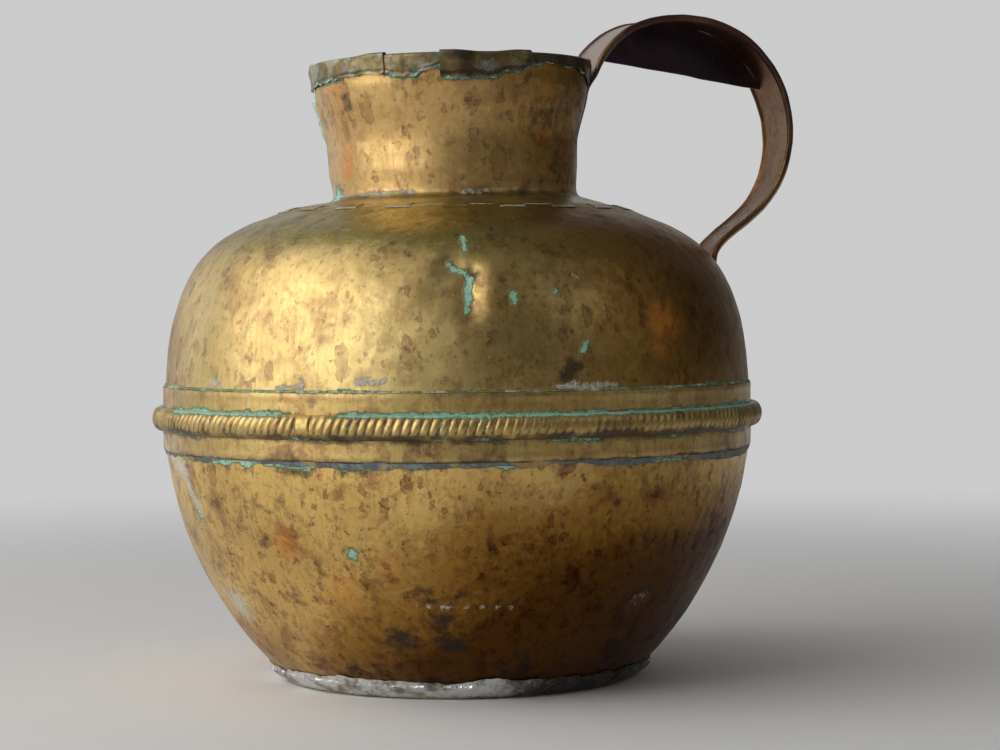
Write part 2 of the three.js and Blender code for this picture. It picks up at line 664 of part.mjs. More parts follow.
// A place on the leaning neck's outer face, in the handle's plane
function neckPlace(height) {
  const guess = unlean(inPlane(point(radiusAt(wallLine, height), height)));
  const radius = radiusAt(wallLine, height) + FIT + STRAP_SHEET;
  const seat = polar(radius, Math.atan2(guess.y, guess.x), height);
  const placed = lean(seat);
  return point(Math.hypot(placed.x, placed.y), placed.z);
}

// A place on the shoulder's outer face, raised off it along its normal
function shoulderPlace(height, raise) {
  const row = shift(shoulderCurve, raise);
  return point(radiusAt(row, height), height);
}

// The line of the strap's inner face in the handle's plane, from tongue to toe
function strapLine() {
  const liftOff = neckPlace(LIFT_OFF);
  const shares = Array.from({ length: SEAT_STEPS + 1 }, (_, i) => i / SEAT_STEPS);
  const onNeck = shares.map((t) => neckPlace(mix(TONGUE, LIFT_OFF, t)));
  const rise = point(Math.sin(radians(LIFT_OFF_TILT)), Math.cos(radians(LIFT_OFF_TILT)));
  const crown = point(HANDLE_CROWN, CROWN_HEIGHT);
  const reach = point(HANDLE_REACH, RIM_HEIGHT - REACH_UNDER_RIM);
  const heel = shoulderPlace(HEEL, HANDLE_HEEL_STANDOFF);
  const toe = shares.map((t) => shoulderPlace(mix(HEEL - HEEL_DROP, TOE, t), FIT));
  const up = new THREE.CubicBezierCurve(
    liftOff,
    liftOff.clone().addScaledVector(rise, LIFT_OFF_PULL),
    point(crown.x - CROWN_PULL_IN, crown.y),
    crown,
  );
  const out = new THREE.CubicBezierCurve(
    crown,
    point(crown.x + CROWN_PULL_OUT, crown.y),
    point(reach.x, reach.y + REACH_PULL_UP),
    reach,
  );
  const down = new THREE.CubicBezierCurve(
    reach,
    point(reach.x, reach.y - REACH_PULL_DOWN),
    point(heel.x, heel.y + HEEL_PULL_UP),
    heel,
  );
  const landing = new THREE.QuadraticBezierCurve(heel, point(heel.x, heel.y - HEEL_PULL_DOWN), toe[0]);
  const free = [up, out, down].flatMap((part) => part.getPoints(ARCH_STEPS).slice(1));
  const points = [...onNeck, ...free, ...landing.getPoints(SEAT_STEPS).slice(1), ...toe.slice(1)];
  return new THREE.SplineCurve(points);
}
const strapCurve = strapLine();
const strapLength = strapCurve.getLength();
const STATIONS = Array.from({ length: STRAP_STEPS + 1 }, (_, i) => i / STRAP_STEPS);
const neckEnd = alongAt(neckPlace(LIFT_OFF).y, true);
const crownEnd = alongAt(CROWN_HEIGHT - STRAP_SHEET, false);
const heelEnd = alongAt(HEEL - HEEL_DROP, false);

// The strap's outline across, at a station: sheet in the middle and a rolled hem at each edge
function strapOutline(along) {
  const toEnd = Math.min(along, strapLength - along);
  const taper = Math.sqrt(Math.min(1, toEnd / STRAP_TAPER));
  const width = mix(STRAP_WIDTH, STRAP_HEEL_WIDTH, smooth(along, crownEnd, heelEnd));
  const half = mix(STRAP_TIP_WIDTH, width, taper) / 2;
  const offSeat = Math.min(along - neckEnd, heelEnd - along);
  const hem = mix(HEM_FLAT, HEM, smooth(offSeat, 0, HEM_FADE));
  const middle = STRAP_SHEET / 2;
  const attach = Math.acos(-Math.sqrt(Math.max(0, 1 - (middle / hem) ** 2)));
  const edge = [attach, ...HEM_TURNS].map((turn) => [
    half - hem + hem * Math.cos(turn),
    middle - hem * Math.sin(turn),
  ]);
  const mirror = [...edge].reverse().map(([across, lift]) => [across, 2 * middle - lift]);
  const inner = [-0.5, 0, 0.5].map((share) => [share * edge[0][0], 0]);
  const outer = inner.map(([across]) => [-across, 2 * middle]);
  const side = [...edge, ...mirror];
  const far = [...side].reverse().map(([across, lift]) => [-across, lift]);
  return [...inner, ...side, ...outer, ...far].map(([across, lift]) => point(across, lift));
}

// A point of the strap: free in the air, or wrapped on the neck or the shoulder at its ends
function strapPoint(along, across, lift) {
  const t = along / strapLength;
  const middle = strapCurve.getPointAt(t);
  const way = strapCurve.getTangentAt(t);
  const normal = inPlane(point(-way.y, way.x));
  const free = inPlane(middle).addScaledVector(strapSide, across).addScaledVector(normal, lift);
  const onNeck = 1 - smooth(along - neckEnd, ...LIFT_OFF_BLEND);
  const onShoulder = smooth(along - heelEnd, ...LANDING_BLEND);
  if (onNeck > 0) return free.lerp(onNeckWall(inPlane(middle), across, lift), onNeck);
  if (onShoulder > 0) return free.lerp(onShoulderFace(middle.y, across, lift), onShoulder);
  return free;
}

// How far along the strap a height is met, coming from the neck's end or from the toe
function alongAt(height, fromNeck) {
  for (let i = 0; i <= SEARCH_STEPS; i++) {
    const t = fromNeck ? i / SEARCH_STEPS : 1 - i / SEARCH_STEPS;
    if (strapCurve.getPointAt(t).y > height) return t * strapLength;
  }
  return strapLength;
}

function onNeckWall(middle, across, lift) {
  const local = unlean(middle);
  const radius = radiusAt(wallLine, local.z) + FIT + STRAP_SHEET - lift;
  return lean(polar(radius, Math.atan2(local.y, local.x) - across / radius, local.z));
}

function onShoulderFace(height, across, lift) {
  const row = shift(shoulderCurve, FIT + lift);
  const radius = radiusAt(row, height);
  return polar(radius, handleAngle - across / radius, height);
}

function strapSolid() {
  const loops = STATIONS.map((t) => {
    const along = t * strapLength;
    return strapOutline(along).map((p) => strapPoint(along, p.x, p.y));
  });
  const ends = [strapOutline(0), strapOutline(strapLength)];
  const holes = [
    ...NECK_RIVETS.map((height) => neckSeat(height)),
    ...SHOULDER_RIVETS.map(({ height, across }) => shoulderSeat(height, across)),
  ];
  return holes.reduce((whole, seat) => whole.subtract(rivetHole(seat)), solid(loft(loops, ends)));
}

// The web: a flat plate that closes the arch from the strap down to a straight edge
function web() {
  const inner = STATIONS.map((t) => {
    const way = strapCurve.getTangentAt(t);
    return strapCurve.getPointAt(t).addScaledVector(point(way.y, -way.x), FIT);
  });
  const peak = inner.reduce((best, p, i) => (p.y > inner[best].y ? i : best), 0);
  const top = inner[peak].y;
  const rising = stretch(inner.slice(0, peak + 1), CROWN_HEIGHT - WEB_START_DROP, top);
  const falling = stretch(inner.slice(peak).reverse(), CROWN_HEIGHT - WEB_END_DROP, top).reverse();
  const shape = new THREE.Shape([...rising, ...falling.slice(1)]);
  const plate = new THREE.ExtrudeGeometry(shape, { depth: WEB_SHEET, bevelEnabled: false });
  plate.rotateX(Math.PI / 2);
  plate.translate(0, WEB_OFFSET, 0);
  return plate.rotateZ(handleAngle);
}

// Rivets: each seat is a place on the wall's outer face and the way out of it

function wallSeat(row, height, angle, placed) {
  const place = placed(polar(radiusAt(row, height), angle, height));
  const above = placed(polar(radiusAt(row, height + 1), angle, height + 1));
  const round = new THREE.Vector3(-Math.sin(angle), Math.cos(angle), 0);
  return { place, out: round.cross(above.sub(place)).normalize() };
}

function neckSeat(height) {
  const guess = unlean(inPlane(point(radiusAt(wallLine, height), height)));
  return wallSeat(wallLine, height, Math.atan2(guess.y, guess.x), (p) => lean(p));
}

function shoulderSeat(height, across) {
  const angle = handleAngle - across / radiusAt(shoulderCurve, height);
  return wallSeat(shoulderCurve, height, angle, (p) => p);
}

const seated = (geometry, { place, out }) =>
  geometry
    .applyQuaternion(new THREE.Quaternion().setFromUnitVectors(new THREE.Vector3(0, 0, 1), out))
    .translate(place.x, place.y, place.z);

function rivetHole(seat) {
  const through = 10 * SHEET;
  const hole = new THREE.CylinderGeometry(RIVET_RADIUS + FIT, RIVET_RADIUS + FIT, through, RIVET_SIDES);
  return solid(seated(hole.rotateX(Math.PI / 2), seat));
}

function rivet(seat) {
  const head = FIT + STRAP_SHEET + 2 * FIT;
  const tail = -SHEET - RIVET_SPARE;
  const outline = [
    point(0, tail - RIVET_TAIL_HEIGHT),
    point(RIVET_TAIL_RADIUS, tail - RIVET_TAIL_HEIGHT / 2),
    point(RIVET_TAIL_RADIUS, tail),
    point(RIVET_RADIUS, tail),
    point(RIVET_RADIUS, head),
    point(RIVET_HEAD_RADIUS, head),
    point(RIVET_CROWN[0] * RIVET_HEAD_RADIUS, head + RIVET_CROWN[1] * RIVET_HEAD_HEIGHT),
    point(0, head + RIVET_HEAD_HEIGHT),
  ];
  return seated(new THREE.LatheGeometry(outline, RIVET_SIDES).rotateX(Math.PI / 2), seat);
}

add("bottom_disc", baseTray(), BRASS);
add("foot_solder", footBead(), SOFT_SOLDER);
add("lower_body", lowerBowl(), BRASS);
add("upper_body", geometryOf(upperBowl()), BRASS);
add("neck", geometryOf(neckSolid()), BRASS);
add("neck_seam_solder", neckSeam(), VERDIGRIS);
add("belt_band", beltBand(), BRASS);
add("rope_moulding", ropeMoulding(), BRASS);
add("belt_solder_upper", bandFillet(1), VERDIGRIS);
add("belt_solder_lower", bandFillet(-1), VERDIGRIS);
BINDINGS.forEach((strip, i) => add(`rim_strip_${i + 1}`, binding(strip, i % 2 === 0), OLD_BRASS));
add("handle_strap", geometryOf(strapSolid()), COPPER);
add("handle_web", web(), COPPER);
NECK_RIVETS.forEach((height, i) => add(`neck_rivet_${i + 1}`, rivet(neckSeat(height)), COPPER));
SHOULDER_RIVETS.forEach(({ height, across }, i) =>
  add(`shoulder_rivet_${i + 1}`, rivet(shoulderSeat(height, across)), COPPER),
);

export default pitcher;
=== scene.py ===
"""The looks of a hand-made brass water pitcher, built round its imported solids."""

import math

import bpy
import numpy as np
from mathutils import Matrix, Vector

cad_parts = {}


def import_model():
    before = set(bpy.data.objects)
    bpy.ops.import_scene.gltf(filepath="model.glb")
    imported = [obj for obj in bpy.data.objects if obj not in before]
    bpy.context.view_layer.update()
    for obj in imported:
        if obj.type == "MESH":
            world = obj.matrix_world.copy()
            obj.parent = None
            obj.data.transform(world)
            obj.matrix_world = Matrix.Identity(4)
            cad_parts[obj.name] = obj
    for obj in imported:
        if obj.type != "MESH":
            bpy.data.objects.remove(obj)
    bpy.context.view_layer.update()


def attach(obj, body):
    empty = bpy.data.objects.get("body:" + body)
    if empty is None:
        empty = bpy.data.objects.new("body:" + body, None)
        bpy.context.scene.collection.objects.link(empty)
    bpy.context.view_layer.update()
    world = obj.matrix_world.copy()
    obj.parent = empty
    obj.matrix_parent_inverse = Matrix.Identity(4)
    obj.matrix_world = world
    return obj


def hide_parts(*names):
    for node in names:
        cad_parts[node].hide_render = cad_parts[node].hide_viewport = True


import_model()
scene = bpy.context.scene

# Driving sizes, in millimetres: those of the solids, but for the neck's lean, shift and swell, which follow
# the photograph's outline more closely
MM = 0.001
SHEET = 1.2
FIT = 0.3
FOOT_RADIUS = 95.2
BELLY_RADIUS = 162.4
BELT_HEIGHT = 145.5
LAP = 14
SEAM_RADIUS = 96
SEAM_HEIGHT = 259
FOOT_PULL_OUT = 0.574
FOOT_PULL_UP = 0.231
BELT_PULL_DOWN = 0.336
BELT_PULL_UP = 0.854
SEAM_PULL_OUT = 0.4
SEAM_PULL_DOWN = 0.113
CROWN_RISE = 6.4
NECK_RADIUS = 67.8
NECK_HEIGHT = 74.3
NECK_FOOT_ROUND = 4
FLARE_HEIGHT = 44.3
NECK_DRAFT = 0.8
FLARE_OUT = 8.4
FLARE_PULL_UP = 0.34
FLARE_PULL_DOWN = 0.56
RIM_TURN = 1.5
NECK_LEAN = 1.7
NECK_TILT = 0.8
NECK_SHIFT = -0.2
NECK_SWELL = 0.5
NECK_SEAM_RISE = 10.6
NECK_SEAM_DROP = 15.3
TEETH = 40
TOOTH_REACH = 6
TOOTH_BEND = 2.4
BAND_WIDTH = 34.5
BAND_SHEET = 1
ROPE_WIDTH = 13
ROPE_PROUD = 5.8
ROPE_PITCH = 4.6
ROPE_JOINT = -27.6  # where its ends meet, in degrees round from the front
TRAY_EDGE = 6
HANDLE_SIDE = 20
STRAP_SHEET = 1.6
STRAP_WIDTH = 42
STRAP_HEEL_WIDTH = 27
STRAP_TIP_WIDTH = 17
STRAP_TAPER = 26
HEM = 2.0
HEM_FLAT = 0.85
HEM_FADE = 20
TONGUE_RISE = 25.6
LIFT_OFF_DROP = 13.3
LIFT_OFF_TILT = 15.7
LIFT_OFF_PULL = 19.1
HANDLE_CROWN = 135.5
CROWN_OVER_RIM = 27.9
CROWN_PULL_IN = 43.5
CROWN_PULL_OUT = 43.9
HANDLE_REACH = 200.6
REACH_UNDER_RIM = 34
REACH_PULL_UP = 23.6
REACH_PULL_DOWN = 53.5
HEEL_UNDER_SEAM = 27.8
HEEL_STANDOFF = 8.3
HEEL_DROP = 11
TOE_DROP = 38
HEEL_PULL_UP = 20.1
HEEL_PULL_DOWN = 5
WEB_START_DROP = 21.8
WEB_END_DROP = 37
WEB_OFFSET = 8.4
WEB_HALF_SHEET = 0.6
RIVET_RADIUS = 2.2
RIVET_HEAD_RADIUS = 4.6

NECK_FOOT = SEAM_HEIGHT + CROWN_RISE
RIM_HEIGHT = NECK_FOOT + NECK_HEIGHT
BELT_BOTTOM = BELT_HEIGHT - LAP / 2
BELT_TOP = BELT_HEIGHT + LAP / 2
BAND_LOW = BELT_HEIGHT - BAND_WIDTH / 2
BAND_HIGH = BELT_HEIGHT + BAND_WIDTH / 2
CROWN_EDGE = SEAM_RADIUS - TOOTH_REACH / 2
TOOTH_TIP = SEAM_RADIUS + TOOTH_REACH / 2

# Fineness, in millimetres between points
BODY_STEP = 1.6
NECK_STEP = 1.15
BELT_STEP = 1.3
HANDLE_STEP = 1.4


# Curves and noise


def smooth(x, low, high):
    """0 below low, 1 above high, and a soft step between them."""
    t = np.clip((x - low) / (high - low), 0, 1)
    return t * t * (3 - 2 * t)


def mix(a, b, t):
    return a + (b - a) * t


def bezier(points, steps=60):
    t = np.linspace(0, 1, steps)[:, None]
    level = [np.array(p, float)[None, :] for p in points]
    while len(level) > 1:
        level = [mix(a, b, t) for a, b in zip(level, level[1:])]
    return level[0]


def distances(line):
    return np.r_[0, np.cumsum(np.linalg.norm(np.diff(line, axis=0), axis=1))]


def evenly(line, step):
    """The same line with points at even distances, close to the step."""
    lengths = distances(line)
    at = np.linspace(0, lengths[-1], max(2, round(lengths[-1] / step) + 1))
    return np.stack([np.interp(at, lengths, line[:, k]) for k in range(2)], axis=1)


def outward(line):
    """Unit normals on the right of a profile that runs upwards."""
    way = np.gradient(line, axis=-2)
    way = way / np.linalg.norm(way, axis=-1, keepdims=True)
    return np.stack([way[..., 1], -way[..., 0]], axis=-1)


def ring(count):
    return np.linspace(0, 2 * np.pi, count, endpoint=False)


def polar(radius, angle, height):
    """A point from its angle round from the front, in radians, towards the handle."""
    return np.stack(np.broadcast_arrays(radius * np.sin(angle), -radius * np.cos(angle), height), axis=-1)


def angle_of(p):
    return np.arctan2(p[..., 0], -p[..., 1])


def radius_of(p):
    return np.hypot(p[..., 0], p[..., 1])


LATTICE = np.random.default_rng(11).random((24, 24, 24))


def noise(p, size, seed=0, tall=1.0):
    """Soft lumps about size across, from -1 to 1, at points whose last axis is x, y, z."""
    q = p * np.array([1, 1, 1 / tall]) / size + 5.3 * seed + 40
    cell = np.floor(q).astype(int)
    f = q - cell
    f = f * f * (3 - 2 * f)
    total = np.zeros(p.shape[:-1])
    for corner in np.ndindex(2, 2, 2):
        weight = np.prod(np.where(corner, f, 1 - f), axis=-1)
        i, j, k = np.moveaxis((cell + corner) % 24, -1, 0)
        total += weight * LATTICE[i, j, k]
    return 2 * total - 1


def rough_noise(p, size, seed=0, tall=1.0):
    """Three sizes of lumps together."""
    return sum(noise(p, size / 2**k, seed + k, tall) / 2**k for k in range(3)) / 1.75


def line_noise(x, size, seed, row=0.0):
    """Noise along a line. Each row has its own."""
    return noise(np.stack([x, 0 * x + row, 0 * x], axis=-1), size, seed)


# The body's and the neck's outer profiles, as radius and height


def crown(radius):
    """Height of the outer face between the toothed seam and the neck."""
    return SEAM_HEIGHT + (SEAM_RADIUS - radius) * CROWN_RISE / (SEAM_RADIUS - NECK_RADIUS)


LOWER = bezier(
    [
        (FOOT_RADIUS, 0),
        (mix(FOOT_RADIUS, BELLY_RADIUS, FOOT_PULL_OUT), FOOT_PULL_UP * BELT_BOTTOM),
        (BELLY_RADIUS, (1 - BELT_PULL_DOWN) * BELT_BOTTOM),
        (BELLY_RADIUS, BELT_BOTTOM),
    ]
)
UPPER = bezier(
    [
        (BELLY_RADIUS, BELT_TOP),
        (BELLY_RADIUS, mix(BELT_TOP, SEAM_HEIGHT, BELT_PULL_UP)),
        (mix(SEAM_RADIUS, BELLY_RADIUS, SEAM_PULL_OUT), mix(SEAM_HEIGHT, BELT_TOP, SEAM_PULL_DOWN)),
        (SEAM_RADIUS, SEAM_HEIGHT),
    ]
)
BODY = np.vstack([LOWER, UPPER])
FLARE_RADIUS = NECK_RADIUS + NECK_DRAFT
FLARE_FOOT = RIM_HEIGHT - FLARE_HEIGHT
WALL_FOOT = [
    (NECK_RADIUS + NECK_FOOT_ROUND, crown(NECK_RADIUS + NECK_FOOT_ROUND)),
    (NECK_RADIUS, NECK_FOOT),
    (NECK_RADIUS, NECK_FOOT + NECK_FOOT_ROUND),
]
FLARE = [
    (FLARE_RADIUS, FLARE_FOOT),
    (FLARE_RADIUS + RIM_TURN, FLARE_FOOT + FLARE_PULL_UP * FLARE_HEIGHT),
    (FLARE_RADIUS + FLARE_OUT - RIM_TURN, RIM_HEIGHT - FLARE_PULL_DOWN * FLARE_HEIGHT),
    (FLARE_RADIUS + FLARE_OUT, RIM_HEIGHT),
]
WALL = np.vstack([bezier(WALL_FOOT, 14), bezier(FLARE)])


def body_radius(height):
    return np.interp(height, BODY[:, 1], BODY[:, 0])


def wall_radius(height):
    return np.interp(height, WALL[:, 1], WALL[:, 0])


def on_body(angle, height):
    """A place on the body's outer face: degrees round from the front, and height."""
    return polar(body_radius(height), math.radians(angle), height)


SLIDE = math.tan(math.radians(NECK_LEAN))
TILT = math.tan(math.radians(NECK_TILT))


def lean(p, share=1.0):
    """The neck's lean away from the handle: it slides aside as it rises, and its rim stays almost level."""
    aside = NECK_SHIFT - (p[..., 2] - NECK_FOOT) * SLIDE
    return np.stack([p[..., 0] + share * aside, p[..., 1], p[..., 2] + share * p[..., 0] * TILT], axis=-1)


def unlean(p):
    x = (p[..., 0] - NECK_SHIFT + (p[..., 2] - NECK_FOOT) * SLIDE) / (1 + SLIDE * TILT)
    return np.stack([x, p[..., 1], p[..., 2] - x * TILT], axis=-1)


def lean_at_neck(p):
    """Full lean on the neck's wall, less on its flange, and none at the seam."""
    fade = smooth(radius_of(p), NECK_RADIUS + NECK_FOOT_ROUND / 2, CROWN_EDGE - TOOTH_REACH)
    on_wall = smooth(p[..., 2], NECK_FOOT + NECK_FOOT_ROUND - 1, NECK_FOOT + NECK_FOOT_ROUND)
    return lean(p, np.maximum(1 - fade, on_wall))


# Distances used for dents, tears and stains


def near(p, place, size):
    """1 at a place, falling softly to 0 about size away."""
    return np.exp(-np.sum((p - place) ** 2, axis=-1) / size**2)


def along(p, start, end, width):
    """1 on the straight way from start to end, falling to 0 about width beside it."""
    way = end - start
    t = np.clip(((p - start) @ way) / (way @ way), 0, 1)
    return near(p, start + t[..., None] * way, width)


def spots(p, *rows):
    """Round spots on the body, from the share, degrees round from the front, height and size of each."""
    return [share * near(p, on_body(a, z), size) for share, a, z, size in rows]


def lines(p, *rows):
    """Lines on the body, from the share, the two ends and the width of each."""
    return [share * along(p, on_body(a, z), on_body(b, y), width) for share, a, z, b, y, width in rows]


def hump(x, width):
    return np.exp(-((x / width) ** 2))


def most(*masks):
    return np.clip(np.maximum.reduce(masks), 0, 1)


def facing(angle):
    """1 in front and on both sides, fading to 0 just before the back."""
    return smooth(angle, 175, 130)


# Making pieces


def quads(rows, columns, close_rows):
    r, c = np.meshgrid(np.arange(rows if close_rows else rows - 1), np.arange(columns), indexing="ij")
    up, side = (r + 1) % rows, (c + 1) % columns
    corners = [r * columns + c, r * columns + side, up * columns + side, up * columns + c]
    return np.stack(corners, axis=-1).reshape(-1, 4)


def lofted(grid, ends):
    """Faces of a body from rows that are closed sections; its ends are joined together, capped or folded."""
    rows, columns = grid.shape[:2]
    faces = quads(rows, columns, ends == "joined")
    points = grid.reshape(-1, 3)
    a, b, c, d = (points[faces[:, k]] for k in range(4))
    volume = np.einsum("ij,ij->i", a, np.cross(b, c)) + np.einsum("ij,ij->i", a, np.cross(c, d))
    first = []
    if ends == "capped":
        first = [list(range(columns))]
    if ends == "folded":
        first = [[i, i + 1, columns - 2 - i, columns - 1 - i] for i in range(columns // 2 - 1)]
    last = [[(rows - 1) * columns + j for j in reversed(face)] for face in first]
    if volume.sum() < 0:
        return faces[:, ::-1].tolist() + first + last
    return faces.tolist() + [face[::-1] for face in first + last]


def mesh_object(name, points, faces, material):
    mesh = bpy.data.meshes.new(name)
    mesh.from_pydata((points * MM).tolist(), [], faces)
    mesh.materials.append(material)
    obj = bpy.data.objects.new(name, mesh)
    scene.collection.objects.link(obj)
    return obj


def piece(name, node, material, points, masks, sharp=38, ends="joined", faces=None):
    """A mesh piece of the object that stands for one solid. A mask that ends early is 0 from there on."""
    faces = faces or lofted(points, ends)
    points = points.reshape(-1, 3)
    obj = mesh_object(name, points, faces, material)
    mesh = obj.data
    mesh.polygons.foreach_set("use_smooth", np.ones(len(mesh.polygons), bool))
    mesh.set_sharp_from_angle(angle=math.radians(sharp))
    for label, values in masks.items():
        values = np.ravel(values)
        layer = mesh.attributes.new(label, "FLOAT", "POINT")
        layer.data.foreach_set("value", np.pad(values, (0, len(points) - len(values))).astype(np.float32))
    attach(obj, "root")
    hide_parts(node)


def shell(line, sheet, step, press, fine, inner_every=6, girth=BELLY_RADIUS):
    """The grid of a closed sheet of revolution from its outer profile, and that profile's places before it
    is beaten. press moves both faces out, and fine the outer one alone."""
    angle = ring(round(2 * np.pi * girth / step))
    way = outward(line)
    inner_rows = np.unique(np.r_[np.arange(0, len(line), inner_every), len(line) - 1])[::-1]
    lengths = distances(line)

    def face(rows, back):
        a, length = np.meshgrid(angle, lengths[rows])
        base = polar(line[rows, :1], a, line[rows, 1:])
        off = press(base) + back
        if back == 0:
            off = off + fine(a, length, radius_of(base))
        return base, base + polar(way[rows, :1], a, way[rows, 1:]) * off[..., None]

    base, outer = face(np.arange(len(line)), 0)
    return np.concatenate([outer, face(inner_rows, -sheet)[1]]), base


def planished(size, depth, seed):
    """The hammer's blows on a shell: shallow dishes about size across, each with its own depth."""

    def fine(angle, length, radius):
        rows = int(np.max(length) / size) + 4
        at_rows = np.interp(np.arange(rows) * size, length[:, 0], radius[:, 0])
        counts = np.maximum(6, np.round(2 * np.pi * at_rows / size)).astype(int)
        shift_round, shift_up, number = np.random.default_rng(seed).random((3, rows, counts.max()))
        best = np.full(angle.shape, 9.0)
        own = np.zeros(angle.shape)
        turn = angle / (2 * np.pi)
        for up, side in np.ndindex(3, 3):
            row = np.clip(np.floor(length / size).astype(int) + up - 1, 0, rows - 1)
            count = counts[row]
            column = np.floor(turn * count).astype(int) + side - 1
            wrapped = column % count
            off_round = (turn - (column + shift_round[row, wrapped]) / count) * 2 * np.pi * radius / size
            distance = np.hypot(off_round, length / size - (row + shift_up[row, wrapped]))
            own = np.where(distance < best, number[row, wrapped], own)
            best = np.minimum(distance, best)
        return depth * (np.minimum(best, 0.9) ** 2 - 0.3) * (0.4 + own)

    return fine


# Materials


def colour(*values):
    """A colour from its red, green and blue out of 255, as a screen shows it."""
    return [((v / 255 + 0.055) / 1.055) ** 2.4 if v > 10 else v / 255 / 12.92 for v in values] + [1]


GOLD = colour(214, 188, 120)
LOWER_GOLD = colour(240, 202, 116)
NECK_GOLD = colour(212, 174, 108)
BELT_GOLD = colour(198, 170, 102)
PALE_GOLD = colour(234, 210, 154)
OLD_GOLD = colour(188, 152, 86)
OLIVE = colour(138, 126, 46)
DULL_OLIVE = colour(112, 106, 66)
BROWN = colour(120, 84, 50)
STAIN = (0.58, 0.47, 0.53, 1)  # stains darken what is under them by these shares
MARK = (0.42, 0.32, 0.27, 1)
DARK = colour(52, 38, 26)
# AMBER and DEEP_AMBER: patina browns, laid on also as painted shade.
AMBER = colour(142, 98, 28)
DEEP_AMBER = colour(84, 46, 6)
ORANGE = colour(224, 144, 62)
TURQUOISE = colour(150, 206, 184)
GREEN = colour(84, 120, 78)
DARK_GREEN = colour(46, 54, 28)
PALE_GREEN = colour(182, 200, 172)
MOSS = colour(126, 136, 98)
SAGE = colour(136, 152, 142)
ICE = colour(196, 214, 206)
CHALK = colour(206, 208, 196)
GREY = colour(142, 144, 140)
BLUE_GREY = colour(110, 118, 120)
RUBBED_BRASS = colour(184, 182, 148)
RUBBED_COPPER = colour(206, 184, 170)
SILVER = colour(226, 226, 224)
LEAD = colour(146, 138, 124)
BRONZE = colour(136, 112, 72)
TAN = colour(116, 80, 50)
PLUM = colour(84, 54, 48)
DARK_PLUM = colour(66, 50, 56)
INK = colour(44, 37, 46)
MIDNIGHT = colour(46, 50, 68)


class Tree:
    """A node tree, with a method for each kind of node used here."""

    def __init__(self, owner, output="OutputMaterial", place="Object"):
        owner.use_nodes = True
        self.owner = owner
        self.tree = owner.node_tree
        self.tree.nodes.clear()
        self.out = self.node(output).inputs["Surface"]
        self.place = self.node("TexCoord").outputs[place]

    def node(self, kind, inputs=(), **settings):
        made = self.tree.nodes.new("ShaderNode" + kind)
        for name, value in settings.items():
            setattr(made, name, value)
        for socket, value in dict(inputs).items():
            self.feed(made.inputs[socket], value)
        return made

    def feed(self, socket, value):
        if isinstance(value, bpy.types.NodeSocket):
            self.tree.links.new(value, socket)
        else:
            socket.default_value = value

    def vector(self, operation, a, inputs=(), output=0):
        return self.node("VectorMath", {0: a, **dict(inputs)}, operation=operation).outputs[output]

    def step(self, value, low, high, start=0.0, end=1.0):
        inputs = {"Value": value, "From Min": low, "From Max": high, "To Min": start, "To Max": end}
        return self.node("MapRange", inputs, interpolation_type="SMOOTHSTEP").outputs[0]

    def maths(self, operation, *values):
        return self.node("Math", enumerate(values), operation=operation).outputs[0]

    def times(self, first, *others):
        for value in others:
            first = self.maths("MULTIPLY", first, value)
        return first

    def plus(self, first, *others):
        for value in others:
            first = self.maths("ADD", first, value)
        return first

    def toward(self, direction, low, high, bright=1.0):
        """From 0 to bright as the place comes round to a direction."""
        dot = self.vector("DOT_PRODUCT", self.place, {1: direction}, "Value")
        return self.step(dot, low, high, 0, bright)

    def backdrop(self, mirrored):
        """Where the plain backdrop shows: to the camera, through glass, and in gloss that mirrors it."""
        path = self.node("LightPath").outputs
        glossy = self.times(path["Is Glossy Ray"], mirrored)
        return self.plus(path["Is Camera Ray"], path["Is Transmission Ray"], glossy)


